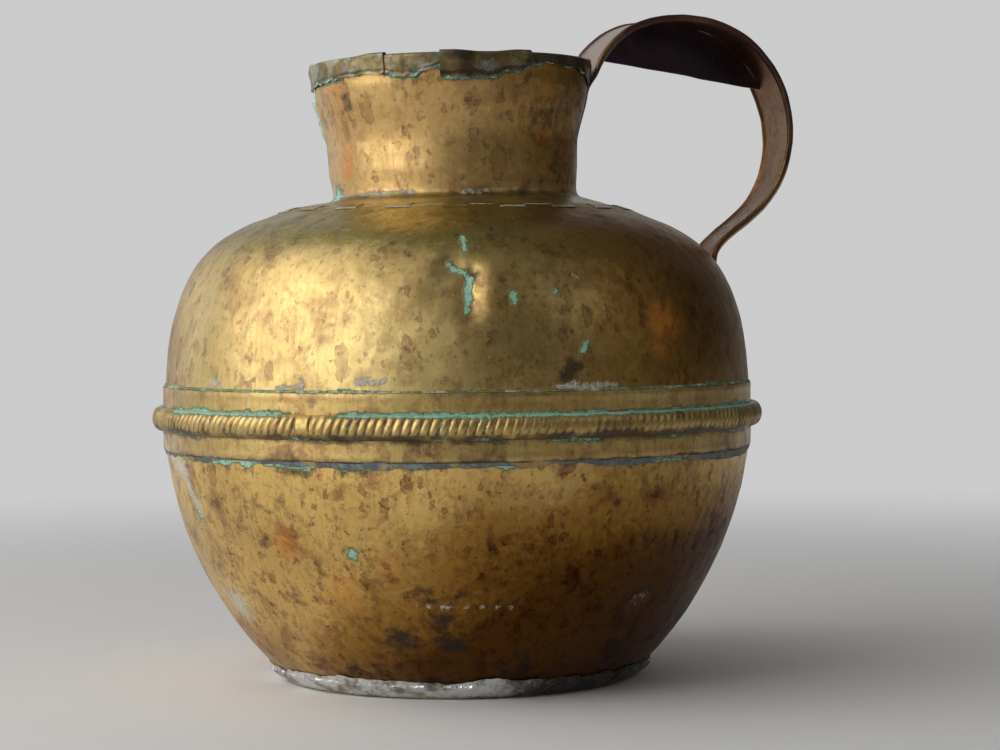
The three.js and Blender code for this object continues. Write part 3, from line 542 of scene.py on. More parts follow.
class Shade(Tree):
    """The node tree of a material with one shader."""

    def __init__(self, name):
        super().__init__(bpy.data.materials.new(name))
        self.shader = self.node("BsdfPrincipled")
        self.feed(self.out, self.shader.outputs[0])

    def stretched(self, tall, place=None):
        return self.node("Mapping", {"Vector": place or self.place, "Scale": (1, 1, 1 / tall)}).outputs[0]

    def noise(self, size, detail, roughness=0.5, twist=0.0, place=None):
        inputs = {"Vector": place or self.place, "Scale": 1 / (size * MM), "Detail": detail}
        return self.node("TexNoise", {**inputs, "Roughness": roughness, "Distortion": twist}).outputs

    def cloud(self, *settings, **more):
        """Noise whose lumps are about size across, in millimetres."""
        return self.noise(*settings, **more)["Fac"]

    def warped(self, size, amount):
        """Places shifted by soft noise, so that what is drawn there has uneven edges."""
        centred = self.vector("SUBTRACT", self.noise(size, 3)["Color"], {1: (0.5, 0.5, 0.5)})
        return self.vector("ADD", self.place, {1: self.vector("SCALE", centred, {"Scale": amount * MM})})

    def stains(self, size, tall, place):
        """Rounded stains, at most one to a cell of that size: the inside of each and its rim."""
        inputs = {"Vector": self.stretched(tall, place), "Scale": 1 / (size * MM)}
        cell = self.node("TexVoronoi", inputs).outputs
        own = self.node("SeparateColor", {0: cell["Color"]}).outputs[0]
        depth = self.maths("SUBTRACT", self.step(own, 0.3, 1.0, 0, 0.42), cell["Distance"])
        inside = self.step(depth, 0.0, 0.05)
        return inside, self.times(inside, self.step(depth, 0.13, 0.04))

    def centred(self, noise, reach):
        return self.times(self.maths("SUBTRACT", noise, 0.5), reach)

    def ragged(self, label, noise, reach):
        """A mask of the mesh with its edge broken up by noise."""
        mask = self.node("Attribute", attribute_name=label).outputs["Fac"]
        return self.plus(mask, self.centred(noise, reach))

    def blend(self, share, a, b, mode="MIX"):
        inputs = {0: share, 6: a, 7: b}
        return self.node("Mix", inputs, data_type="RGBA", blend_type=mode).outputs[2]

    def layers(self, base, *rows):
        """Colours laid on in turn, each with the noise that shows it, its start and end, and its share."""
        for tint, value, low, high, share in rows:
            base = self.blend(self.step(value, low, high, 0, share), base, tint)
        return base

    def bumps(self, *rows, normal=None):
        """Heights in turn, each with its strength and its distance in millimetres."""
        for height, strength, distance in rows:
            inputs = {"Height": height, "Strength": strength, "Distance": distance * MM}
            if normal is not None:
                inputs["Normal"] = normal
            normal = self.node("Bump", inputs).outputs[0]
        return normal

    def finish(self, base, metallic, roughness, normal, coat=0.0):
        names = ["Base Color", "Metallic", "Roughness", "Normal", "Coat Weight", "Coat Roughness", "Coat IOR"]
        for name, value in zip(names, [base, metallic, roughness, normal, coat, 0.3, 1.6]):
            self.feed(self.shader.inputs[name], value)
        return self.owner

    def crusted(self, base, metallic, roughness, normal, coat=0.0):
        """The finish under verdigris and pale deposits, where the mesh's masks say: dark at their edges."""
        lumps = self.cloud(3.2, 5, 0.7)
        fine = self.cloud(0.8, 3, 0.7)
        green = self.ragged("green", self.plus(self.centred(fine, 0.4), lumps), 1.5)
        chalk = self.ragged("chalk", self.plus(self.centred(fine, 0.7), lumps), 1.6)
        shade = self.layers(
            DARK_GREEN,
            (GREEN, green, 0.42, 0.62, 1),
            (TURQUOISE, green, 0.6, 0.86, 1),
            (PALE_GREEN, fine, 0.5, 0.72, 0.6),
            (DARK_GREEN, self.cloud(1.5, 3, 0.6), 0.56, 0.7, 0.5),
        )
        pale = self.layers(GREY, (CHALK, fine, 0.3, 0.62, 1))
        on_green = self.step(green, 0.36, 0.56, 0, 0.92)
        on_chalk = self.step(chalk, 0.4, 0.85, 0, 0.84)
        base = self.blend(on_chalk, self.blend(on_green, base, shade), pale)
        crust = self.maths("MAXIMUM", on_green, on_chalk)
        metallic = self.times(self.step(crust, 0, 1, 1.0, 0.05), metallic)
        roughness = self.maths("MAXIMUM", roughness, self.times(crust, 0.82))
        on_crust = [(self.times(crust, lumps), 0.6, 0.9), (self.times(crust, fine), 0.4, 0.25)]
        return self.finish(base, metallic, roughness, self.bumps(*on_crust, normal=normal), coat)


def brass(name, main, stained=1.0, mottled=1.0):
    """Old hammered brass: golden where the wear shows, with brown stains, fine upright strokes and a patina.
    Its amber and dark masks also carry painted shade.
    """
    s = Shade(name)
    warped = s.warped(5, 9)
    wide = s.cloud(60, 3, 0.5)
    middle = s.cloud(19, 5, 0.62, 0.5)
    small = s.cloud(5, 5, 0.68)
    grain = s.cloud(0.9, 3, 0.65)
    strokes = s.cloud(2.2, 4, 0.7, place=s.stretched(12.5))
    # The amber mask is a brown patina and also painted shade: it browns and darkens the sides that lie in
    # shade, and thins the coat there.
    amber_patina_and_shade = s.ragged("amber_patina_and_shade", small, 0.5)
    base = s.layers(
        main,
        (OLD_GOLD, wide, 0.35, 0.65, 0.45),
        (OLIVE, s.ragged("olive", middle, 0.8), 0.1, 0.9, 0.8),
        (PALE_GOLD, small, 0.5, 0.74, 0.4),
        (PALE_GOLD, strokes, 0.47, 0.3, 0.22),
        (AMBER, amber_patina_and_shade, 0.05, 0.6, 0.86),
        (DEEP_AMBER, amber_patina_and_shade, 0.55, 1.05, 0.9),
        (ORANGE, s.ragged("orange", small, 0.9), 0.2, 0.9, 0.75),
    )
    crowd = s.step(s.cloud(34, 3, 0.55), 0.36, 0.5)
    large, large_edge = s.stains(11.5, 2.3, warped)
    few, few_edge = s.stains(6, 1.5, warped)
    dots = s.stains(3.4, 1.2, warped)[0]
    for share, tint in (
        (s.step(middle, 0.5, 0.68, 0, 0.6 * mottled), STAIN),
        (s.step(s.cloud(8, 6, 0.75, 0.4), 0.52, 0.6, 0, 0.42 * mottled), STAIN),
        (s.step(strokes, 0.52, 0.72, 0, 0.4 * mottled), STAIN),
        (s.step(grain, 0.6, 0.74, 0, 0.45), STAIN),
        (s.times(large, crowd, 0.46 * stained), STAIN),
        (s.times(large_edge, crowd, s.step(small, 0.42, 0.56), 0.5 * stained), MARK),
        (s.times(few, s.step(middle, 0.38, 0.48), 0.55 * stained), STAIN),
        (s.times(few_edge, s.step(middle, 0.4, 0.5), 0.42 * stained), MARK),
        (s.times(dots, s.step(small, 0.48, 0.56), 0.5 * stained), MARK),
    ):
        base = s.blend(share, base, tint, "MULTIPLY")
    # The dark mask holds dark wear and stains, and painted shade where the pieces put it.
    wear_and_shade = s.ragged("dark", s.plus(s.centred(small, 0.8), middle), 1.4)
    base = s.layers(base, (DARK, wear_and_shade, 0.3, 0.95, 0.86))
    roughness = s.plus(
        s.step(middle, 0.25, 0.75, 0.36, 0.46),
        s.step(strokes, 0.3, 0.7, -0.03, 0.05),
        s.times(large, crowd, 0.06),
        s.step(wear_and_shade, 0.3, 1, 0, 0.2),
    )
    normal = s.bumps(
        (s.cloud(13, 3, 0.5), 0.5, 0.6),
        (s.times(large, crowd), 0.3, -0.06),
        (few, 0.3, -0.04),
        (small, 0.35, 0.2),
        (strokes, 0.25, 0.06),
        (grain, 0.3, 0.07),
    )
    metallic = s.step(wear_and_shade, 0.2, 1.2, 1.0, 0.65)
    return s.crusted(base, metallic, roughness, normal, s.step(amber_patina_and_shade, 0, 0.9, 0.34, 0.03))


def rim_brass(name):
    """The folded strips: bronze brown, dulled grey-green in patches, golden where the hand has rubbed."""
    s = Shade(name)
    small = s.cloud(3.4, 5, 0.68)
    wear_and_shade = s.ragged("dark", small, 1.0)
    base = s.layers(
        BRONZE,
        (DULL_OLIVE, s.cloud(12, 4, 0.6, 0.4), 0.35, 0.62, 1),
        (GREY, s.cloud(8, 4, 0.6), 0.5, 0.66, 0.6),
        (BROWN, small, 0.5, 0.72, 0.5),
        (OLD_GOLD, s.cloud(1.8, 4, 0.7, place=s.stretched(5)), 0.54, 0.7, 0.5),
        (RUBBED_BRASS, s.ragged("rubbed", small, 0.5), 0.25, 0.8, 0.75),
        (DARK, wear_and_shade, 0.25, 0.95, 0.86),
    )
    normal = s.bumps((s.cloud(6, 4, 0.55), 0.6, 0.6), (small, 0.35, 0.2))
    metallic = s.step(wear_and_shade, 0.2, 1.2, 1.0, 0.7)
    return s.crusted(base, metallic, s.step(small, 0.3, 0.7, 0.34, 0.5), normal, 0.3)


def soft_solder(name):
    """Soft solder: bright and smeared, greyer in its hollows."""
    s = Shade(name)
    lump = s.cloud(10, 4, 0.55)
    pits = s.cloud(1.8, 5, 0.7)
    shade = s.layers(
        LEAD,
        (SILVER, lump, 0.34, 0.56, 1),
        (GREY, pits, 0.6, 0.74, 0.3),
        (DARK, s.ragged("dark", pits, 0.8), 0.3, 0.9, 0.93),
    )
    normal = s.bumps((s.cloud(4.5, 3, 0.5), 0.9, 1.7), (pits, 0.25, 0.15))
    return s.crusted(shade, 0.85, s.step(lump, 0.3, 0.7, 0.34, 0.2), normal)


def hard_solder(name, body, crust, specks, bare):
    """Solder along an edge: a dull body, a crust over it, specks, and bare metal showing here and there."""
    s = Shade(name)
    lump = s.cloud(13, 4, 0.62, 0.4)
    ragged = s.cloud(2.6, 5, 0.72)
    shade = s.blend(s.step(ragged, 0.3, 0.55, 0.55, 1), DARK_GREEN, body)
    shade = s.blend(s.times(s.step(lump, 0.42, 0.58), s.step(ragged, 0.4, 0.6)), shade, crust)
    shade = s.layers(
        shade,
        (specks, s.cloud(4.5, 4, 0.7), 0.55, 0.7, 0.7),
        (bare, s.cloud(11, 5, 0.7), 0.54, 0.64, 0.8),
        (DARK, s.ragged("dark", ragged, 0.9), 0.4, 0.7, 0.85),
    )
    metallic = s.step(lump, 0.45, 0.65, 0.6, 0.1)
    return s.finish(shade, metallic, s.step(ragged, 0.3, 0.7, 0.5, 0.8), s.bumps((ragged, 0.6, 0.5)))


def copper(name, base, dull):
    """Oxidised copper: tan inside the strap, purple-brown on its edges, paler where it is rubbed."""
    s = Shade(name)
    wide = s.cloud(30, 4, 0.6)
    small = s.cloud(4.4, 5, 0.68)
    base = s.layers(
        base,
        (TAN, s.ragged("tan", small, 0.7), 0.25, 0.75, 1),
        (dull, wide, 0.4, 0.7, 0.5),
        (INK, small, 0.5, 0.72, 0.4),
        (BRONZE, s.cloud(1.6, 4, 0.7, 0.2, s.stretched(6.25)), 0.56, 0.7, 0.12),
        (RUBBED_COPPER, s.ragged("rubbed", small, 0.6), 0.3, 0.9, 0.7),
        (INK, s.ragged("dark", small, 0.6), 0.25, 0.95, 0.9),
    )
    normal = s.bumps((s.cloud(12, 4, 0.5), 0.4, 0.5), (small, 0.3, 0.15))
    return s.crusted(base, s.step(wide, 0.3, 0.7, 1.0, 0.9), s.step(small, 0.3, 0.7, 0.3, 0.46), normal, 0.08)


BRASS = brass("AgedBrass", GOLD)
LOWER_BRASS = brass("LowerBrass", LOWER_GOLD, 1.4, 1.5)
NECK_BRASS = brass("NeckBrass", NECK_GOLD, 1.05, 0.8)
ROPE_BRASS = brass("BeltBrass", BELT_GOLD, 0.8, 1.1)
RIM_BRASS = rim_brass("RimBrass")
SOFT_SOLDER = soft_solder("SoftSolder")
UPPER_CRUST = hard_solder("UpperCrust", MOSS, PALE_GREEN, GREEN, OLIVE)
LOWER_CRUST = hard_solder("LowerCrust", BLUE_GREY, SAGE, GREY, OLD_GOLD)
SEAM_CRUST = hard_solder("SeamCrust", ICE, CHALK, BLUE_GREY, PALE_GREEN)
STRAP_COPPER = copper("StrapCopper", PLUM, BRONZE)
# The web's near-black copper is dark oxide and also painted shade under the handle's arch.
WEB_COPPER = copper("WebCopper", DARK_PLUM, MIDNIGHT)


# Bowls. Places on them are in degrees round from the front, and height.

TEAR_TOP = (-1.6, 227)
TEAR_CORNER = (2.5, 223)
TEAR_FOOT = (2.4, 205)


def undulation(p):
    """Broad unevenness of sheet raised by hand."""
    return 0.9 * noise(p, 75, 1) + 0.4 * noise(p, 34, 2) + 0.16 * noise(p, 16, 3)


def upper_dents(p):
    crease = most(*lines(p, (1, *TEAR_TOP, *TEAR_CORNER, 6), (1, *TEAR_CORNER, *TEAR_FOOT, 6.5)))
    knocks = spots(
        p,
        (-1.6, -2.5, 214, 11),
        (1.5, 7.2, 214, 14),
        (1.2, -3, 231, 6),
        (-1.6, -62, 205, 22),
        (-1.0, 20.5, 174, 7),
        (-1.4, -33, 186, 24),
        (-1.2, 38, 205, 20),
        (-1.5, 160, 200, 24),
        (-1.8, -130, 182, 20),
    )
    return undulation(p) - 2.8 * crease + sum(knocks)


def lower_dents(p):
    knocks = spots(
        p,
        (-1.2, -7, 60, 12),
        (-1.3, 44, 51, 14),
        (-1.4, -40, 75, 22),
        (-1.5, 24, 92, 20),
        (-1.7, 150, 70, 22),
        (-1.2, -120, 100, 18),
    )
    return undulation(p) + sum(knocks)


def seam_line(p):
    """Pale deposit along the shoulder's edge, between the teeth that lie over it."""
    on_edge = smooth(radius_of(p) - CROWN_EDGE, 2.6, 0.8)
    return 1.1 * on_edge * (1 - tooth_wave(angle_of(p))) * smooth(noise(p, 11, 3), -0.5, 0.0)


def upper_bowl():
    edge = (CROWN_EDGE, crown(CROWN_EDGE))
    line = evenly(np.vstack([[(BELLY_RADIUS, BELT_BOTTOM)], UPPER, [edge]]), BODY_STEP)

    def press(base):
        height = base[..., 2]
        quiet = smooth(height, BELT_TOP, BELT_TOP + 22) * smooth(height, SEAM_HEIGHT - 2, SEAM_HEIGHT - 7)
        return upper_dents(base) * quiet

    points, p = shell(line, SHEET, BODY_STEP, press, planished(8.4, 0.3, 3))
    q = p + 3 * rough_noise(p, 9, 4)[..., None]
    height = p[..., 2]
    angle = np.degrees(angle_of(p))
    run = noise(p, 13, 6, 20)
    drips = 0.75 * smooth(2.0 + 2.6 * run - (height - BAND_HIGH), 0, 2.0)
    smudges = [(-51, 167, 1), (-31.5, 166.8, 2.4), (-15.5, 169, 2.2), (26.5, 165.5, 3), (20, 165.5, 1.5)]
    masks = {
        "green": most(
            *lines(
                q,
                (1, *TEAR_TOP, *TEAR_CORNER, 2.4),
                (1, *TEAR_CORNER, *TEAR_FOOT, 2.8),
                (1, 0.9, 240, 1.9, 234, 2.2),
                (0.9, 10.7, 213, 10.9, 208, 2.2),
                (1, 23.7, 187, 23.0, 182.5, 2.4),
            ),
            *spots(p, (1, 18.9, 212.7, 2.8)),
            drips * smooth(noise(p, 60, 2), -0.5, 0.1),
        ),
        "chalk": most(
            *lines(p, (0.8, 23.2, 221, 24.4, 219, 1.2), (0.7, 28.6, 202.5, 29.6, 201, 1.1)),
            *spots(p, (0.75, 19.2, 212.2, 1.6)),
            *lines(q, *((0.85, a - w, z, a + w, z, 3) for a, z, w in smudges)),
            seam_line(p),
        ),
        # Dark marks and darker mottling round the right side; the spots beside the tear and its corner are
        # painted shadow in its recess.
        "dark": most(
            *spots(q, (1.05, 20.5, 174.5, 8), (0.4, -51, 170, 6), (0.8, -1.2, 214, 7)),
            *spots(q, (0.75, *TEAR_CORNER, 6)),
        )
        + 0.22 * smooth(np.abs(angle - 60), 40, 0) * smooth(noise(p, 30, 8), -0.2, 0.6),
        "orange": most(*spots(p, (1, 42.6, 197, 13), (0.7, 40.5, 184, 9), (0.35, 74, 196, 16))),
        # Amber patina and painted shade: browner and darker towards the right side and at the far left edge.
        "amber_patina_and_shade": 0.62 * smooth(angle, -15, 55) * facing(angle)
        + 0.4 * smooth(angle, -56, -80)
        + 0.12 * noise(p, 40, 2),
        "olive": smooth(height, 222, 250) + 0.25 * smooth(angle, -30, 20) * facing(angle),
    }
    piece("upper_bowl", "upper_body", BRASS, points, masks)


def lower_bowl():
    lap_radius = BELLY_RADIUS - SHEET - FIT
    start = SHEET + FIT
    bowl = LOWER[(LOWER[:, 1] > start) & (LOWER[:, 1] < BELT_BOTTOM - 2 * start)]
    joggle = [(lap_radius, BELT_BOTTOM - FIT), (lap_radius, BELT_TOP)]
    line = evenly(np.vstack([[(body_radius(start), start)], bowl, joggle]), BODY_STEP)

    def press(base):
        height = base[..., 2]
        return lower_dents(base) * smooth(height, BELT_BOTTOM - 11, BELT_BOTTOM - 24) * smooth(height, 8, 26)

    points, p = shell(line, SHEET, BODY_STEP, press, planished(8.8, 0.24, 5))
    q = p + 3 * rough_noise(p, 8, 4)[..., None]
    height = p[..., 2]
    angle = np.degrees(angle_of(p))
    run = noise(p, 11, 6, 20)
    dashes = smooth(np.sin(np.radians(angle) * 110 + 3 * noise(p, 14, 3)), 0.0, 0.6)
    dashed = hump(height - 53 - noise(p, 20, 5), 1.3) * smooth(np.abs(angle - 1), 13, 10) * dashes
    # Amber patina and painted shade: browner and darker towards the lower right and the foot.
    amber_patina_and_shade = 0.02 + 1.12 * smooth(angle, -50, 36) * facing(angle) * smooth(height, 155, 50)
    amber_patina_and_shade = amber_patina_and_shade + 0.4 * smooth(height, 66, 14) + 0.15 * noise(p, 34, 2)
    masks = {
        "green": most(
            *spots(q, (0.9, -20.9, 81, 5), (0.6, -62, 96, 9)),
            0.85 * smooth(height - BAND_LOW + 4 + 4 * run, 0, 3),
        ),
        "chalk": most(
            *lines(q, (0.95, -74, 128, -65, 118, 7), (0.8, -66, 120, -61, 98, 5.5)),
            *spots(q, (0.82, -61, 47, 16), (0.55, 44, 51, 8)),
            0.9 * dashed,
        ),
        "dark": most(
            *spots(
                q,
                (0.95, -7.7, 60, 8),
                (0.95, -3.2, 46, 8),
                (0.95, -12.8, 35, 13),
                (0.8, -2, 33, 12),
                (0.7, 44, 52, 12),
            ),
            0.6 * smooth(noise(p, 15, 9, 1 / 0.45), 0.15, 0.75) * smooth(height, 125, 100),
            0.5 * smooth(noise(p, 6, 5, 1 / 0.6), 0.35, 0.8),
            0.6 * smooth(height - BAND_LOW + 9 + 5 * run, 0, 6) * smooth(run, -0.2, 0.5),
        ),
        "amber_patina_and_shade": np.clip(amber_patina_and_shade, 0, 1.1) * smooth(height, 150, 128),
        "orange": most(*spots(q, (0.75, -36, 85, 14), (0.6, -24, 60, 16), (0.5, -14, 74, 12))),
    }
    piece("lower_bowl", "lower_body", LOWER_BRASS, points, masks)


# Neck


def tooth_wave(angle):
    """1 where a tooth lies above the shoulder's edge, 0 where one goes under it."""
    phase = np.abs(((np.degrees(angle) + 90) / (360 / TEETH)) % 2 - 1)
    return smooth(phase, 0.5 - 0.045, 0.5 + 0.045)


def neck():
    shoulder = np.interp(-TOOTH_TIP, -UPPER[:, 0], UPPER[:, 1])
    line = evenly(np.vstack([[(TOOTH_TIP, shoulder)], [(CROWN_EDGE, crown(CROWN_EDGE))], WALL]), NECK_STEP)
    seam_low, seam_high = NECK_FOOT + NECK_SEAM_RISE, RIM_HEIGHT - NECK_SEAM_DROP

    def press(base):
        height = base[..., 2]
        angle = angle_of(base)
        teeth = smooth(radius_of(base), CROWN_EDGE - TOOTH_BEND, CROWN_EDGE - 0.4)
        teeth = teeth * mix(-SHEET - 0.1, SHEET + 0.12, tooth_wave(angle))
        past = np.degrees(angle + np.pi / 2) % 360
        lap = SHEET * smooth(past, 13, 8) * smooth(past, 0, 0.7)
        window = smooth(height, NECK_FOOT, seam_low + 6) * smooth(height, seam_high, seam_high - 6)
        wall = smooth(height, NECK_FOOT + 4, NECK_FOOT + 18) * smooth(height, RIM_HEIGHT - 8, RIM_HEIGHT - 16)
        uneven = NECK_SWELL + 0.35 * noise(base, 26, 5) + 0.16 * noise(base, 11, 6)
        return teeth + lap * window + wall * uneven

    hammer = planished(6.6, 0.2, 9)

    def fine(angle, length, radius):
        pressed = tooth_wave(angle) * smooth(radius, CROWN_EDGE - TOOTH_BEND, CROWN_EDGE)
        return hammer(angle, length, radius) - 0.8 * pressed

    points, p = shell(line, SHEET, NECK_STEP, press, fine, inner_every=4, girth=82)
    q = p + 2 * rough_noise(p, 7, 4)[..., None]
    degrees = np.degrees(angle_of(p))
    radius = radius_of(p)
    height = p[..., 2]
    rise = height - NECK_FOOT
    edge = np.abs(radius - mix(CROWN_EDGE, TOOTH_TIP, tooth_wave(angle_of(p))))
    dashed = smooth(noise(p, 13, 8), -0.6, -0.1)
    foot_line = smooth(np.abs(q[..., 2] - NECK_FOOT - 2.0), 1.8, 0.6)
    rightward = smooth(degrees, -78, -60) * smooth(degrees, 34, 10)
    chalk = np.zeros(points.shape[:2])
    chalk[: len(p)] = most(
        0.95 * smooth(edge, 2.2, 0.8) * smooth(radius, CROWN_EDGE - 4, CROWN_EDGE - 1) * dashed,
        near(q, polar(NECK_RADIUS + 2, math.radians(-80), NECK_FOOT + 4), 7),
        0.66 * foot_line * rightward * (0.5 + 0.5 * dashed),
    )
    chalk[-1] = chalk[0]
    under_rim = np.abs(RIM_HEIGHT - height - hanging(degrees) - 0.4)
    # Painted shading and glints: an orange-brown shaded band on the left and orange glints on the right.
    shade_and_glint_bands = smooth(np.abs(degrees + 59), 10, 4) * 0.85 + smooth(np.abs(degrees - 45), 7, 2) * 0.5
    masks = {
        "green": most(
            0.85 * smooth(np.abs(degrees + 90), 10, 2) * smooth(rise, 4, 12),
            0.68 * smooth(under_rim, 2.2, 0.6) * smooth(noise(p, 14, 3), -0.3, 0.3),
            near(q, polar(NECK_RADIUS + 2, math.radians(-70), NECK_FOOT + 1), 8),
        ),
        "chalk": chalk,
        # Dark mottling, and painted shade: darker on the right side and round the neck's foot.
        "dark": most(
            0.5 * smooth(noise(p, 9, 4, 1 / 0.6), 0.15, 0.7) * smooth(rise, 6, 16),
            0.55 * smooth(degrees, 20, 70) * facing(degrees) * smooth(rise, 0, 8),
            0.5 * smooth(radius, NECK_RADIUS + 12, NECK_RADIUS + 2) * smooth(rise, 9, 0),
        ),
        "orange": np.clip(shade_and_glint_bands * smooth(rise, 4, 14) * (0.7 + 0.5 * noise(q, 12, 4)), 0, 1),
        # Amber patina and painted shade on the neck's right side.
        "amber_patina_and_shade": 0.45 * smooth(degrees, -5, 45) * facing(degrees) * smooth(rise, 0, 8),
        # Olive tint on the crown and the neck's foot, also painted shade over the foot's bend.
        "olive": smooth(rise, 3, 0),
    }
    piece("neck_sheet", "neck", NECK_BRASS, lean_at_neck(points), masks)


def neck_seam():
    """Lumpy pale and green solder up the edge of the neck's lap."""
    low, high = NECK_FOOT + 7, RIM_HEIGHT - 14
    t, z = np.meshgrid(np.linspace(-1, 1, 15), np.linspace(low, high, 60))
    end = smooth(z, low, low + 5) * smooth(z, high, high - 5)
    across = t * (2.6 + 0.9 * line_noise(z, 9, 3)) * (0.35 + 0.65 * end)
    lumps = 1.25 + 0.5 * noise(np.stack([across, z, 0 * z], -1), 4, 5)
    swell = mix(0.7, 2.5, smooth(z, low + 20, low + 32)) * lumps
    lift = 0.12 + swell * np.sqrt(np.clip(1 - t**2, 0, 1)) * (0.25 + 0.75 * end)
    wall = wall_radius(z)
    angle = -np.pi / 2 - (1.6 - across) / (wall + lift)
    grid = np.concatenate([polar(wall + lift, angle, z), polar(wall - 0.5, angle, z)[:, ::-1]], axis=1)
    piece("neck_seam", "neck_seam_solder", SEAM_CRUST, lean_at_neck(grid), {}, ends="capped")


# Belt


def belt():
    inside = np.linspace(BAND_LOW, BAND_HIGH, 40)
    line = evenly(np.stack([body_radius(inside) + FIT + BAND_SHEET, inside], axis=1), BELT_STEP)

    def press(base):
        height = base[..., 2]
        ridges = hump(height - BAND_LOW - 2, 1.4) + hump(height - BAND_HIGH + 2, 1.4)
        return 0.2 * ridges + 0.25 * noise(base, 40, 7) - 0.1 + 0.12 * noise(base, 12, 8)

    points, p = shell(line, BAND_SHEET, BODY_STEP, press, planished(9.5, 0.12, 6), inner_every=8)
    height = p[..., 2]
    top, foot = BELT_HEIGHT + ROPE_WIDTH / 2, BELT_HEIGHT - ROPE_WIDTH / 2
    run = rough_noise(p, 16, 6, 1 / 0.3)
    patchy = smooth(noise(p, 38, 3), -0.75, -0.3)
    below = smooth(height, top, foot)
    masks = {
        "green": most(
            0.95 * smooth(height, top + 3.2 + 3.2 * run, top - 0.6) * smooth(height, foot, top) * patchy,
            0.75 * smooth(height, foot - 5 + 2.5 * run, foot) * below * smooth(run, -0.2, 0.3),
            0.4 * smooth(height, BAND_HIGH - 1.0 + run, BAND_HIGH),
        ),
        # Painted shade along the band's lower edge, over its lower half and just under the rope, with dark
        # runs.
        "dark": most(
            0.75 * smooth(height, BAND_LOW + 2.6 + run, BAND_LOW),
            0.45 * smooth(run, 0.1, 0.6),
            0.3 * smooth(height, BELT_HEIGHT, BAND_LOW),
            0.6 * smooth(height, foot - 5, foot) * below,
        ),
        "chalk": lines(p, (0.85, -82, 139, -73, 128, 4.5)),
    }
    piece("belt", "belt_band", ROPE_BRASS, points, masks)


def rope():
    """The roped moulding: slanting grooves on its upper two thirds, and a plain lap where its ends meet."""
    back = BELLY_RADIUS + 2 * FIT + BAND_SHEET
    crest = back + ROPE_PROUD
    grooves = round(2 * np.pi * crest / ROPE_PITCH)
    a, t = np.meshgrid(ring(grooves * 10), np.linspace(0, np.pi, 19))
    half = ROPE_WIDTH / 2
    across = -half * np.cos(t)
    crest_line = polar(crest, a, across * 0)
    slant = 0.35 * across + 0.5 * noise(crest_line, 30, 4)
    phase = a * grooves / (2 * np.pi) - slant / ROPE_PITCH
    from_joint = np.abs((a - math.radians(ROPE_JOINT) + np.pi) % (2 * np.pi) - np.pi) * crest
    plain = smooth(from_joint, 4.6, 3.2)
    shown = smooth(across, -0.62 * half, -0.3 * half) * smooth(across, 0.98 * half, 0.8 * half) * (1 - plain)
    side = np.degrees(a + np.pi) % 360 - 180
    # Right of the front, between about 20 and 45 degrees, the grooves are shallower and darkened a little as
    # painted shade.
    rubbed = 0.5 * smooth(side, 2, 20) * smooth(side, 62, 45)
    depth = 0.85 * (0.82 + 0.4 * noise(crest_line, 11, 2)) * (1 - rubbed)
    groove = (0.5 + 0.5 * np.cos(2 * np.pi * phase)) ** 2.2 * shown
    bulge = ROPE_PROUD * np.sin(t) ** 0.75
    lap = 0.3 * plain - 0.5 * smooth(from_joint, 6.2, 4.8) * (1 - plain)
    radius = back + bulge - depth * groove * np.sin(t) ** 0.4 + lap * np.sin(t) - 0.12
    place = polar(radius, a, BELT_HEIGHT + across * (1 + 0.02 * noise(crest_line, 14, 5)))
    place = place + 0.14 * noise(place, 9, 6)[..., None] * polar(1.0, a, 0.0)
    run = rough_noise(place, 14, 6, 2.5)
    patchy = smooth(noise(place, 38, 3), -0.75, -0.3)
    # Painted shade on the rope's lower side.
    under = 0.8 * smooth(across, -0.15 * half, -0.7 * half)
    masks = {
        "green": most(
            0.9 * smooth(across, 0.55 * half - 1.5 * run, 0.95 * half) * patchy,
            0.75 * smooth(across, -0.5 * half, -0.95 * half) * smooth(run, 0.0, 0.4),
            0.6 * groove * smooth(run, -0.1, 0.4) * patchy,
        ),
        # Painted shade in the grooves, on the right side and on the lower side.
        "dark": np.clip(0.7 * groove * (1 - rubbed) + 0.25 * rubbed + under, 0, 1),
    }
    piece("rope", "rope_moulding", ROPE_BRASS, place, masks, sharp=80)


def belt_fillet(side, name, node, material):
    """Crusted solder along one edge of the belt's band."""
    edge = BELT_HEIGHT + side * (BAND_WIDTH / 2 + 0.05)
    a, t = np.meshgrid(ring(round(2 * np.pi * BELLY_RADIUS / BELT_STEP)), np.linspace(0, 1, 9))
    girth = polar(BELLY_RADIUS, a, t * 0)
    lumps = 0.6 * noise(girth, 44, 3 + side) + 0.7 * rough_noise(girth, 13, 4)
    tall = 1.5 * (1 + 0.4 * lumps) if side > 0 else mix(0.8, 4.8, smooth(lumps, -0.5, 0.7))
    height = edge + side * tall * t
    proud = (0.12 + 0.9 * (1 - t) ** 0.8) * (1 + 0.35 * noise(polar(BELLY_RADIUS, a, height), 5, 2))
    wall = body_radius(height)
    points = [polar(wall + np.clip(proud, 0.1, 1.4), a, height), polar(wall - 0.3, a, height)[::-1]]
    masks = {"dark": 0.8 * smooth(np.abs(2 * t - 1.1), 0.5, 0.9) * smooth(noise(girth, 9, 2), -0.6, 0.1)}
    piece(name, node, material, np.concatenate(points), masks, sharp=60)


# Foot


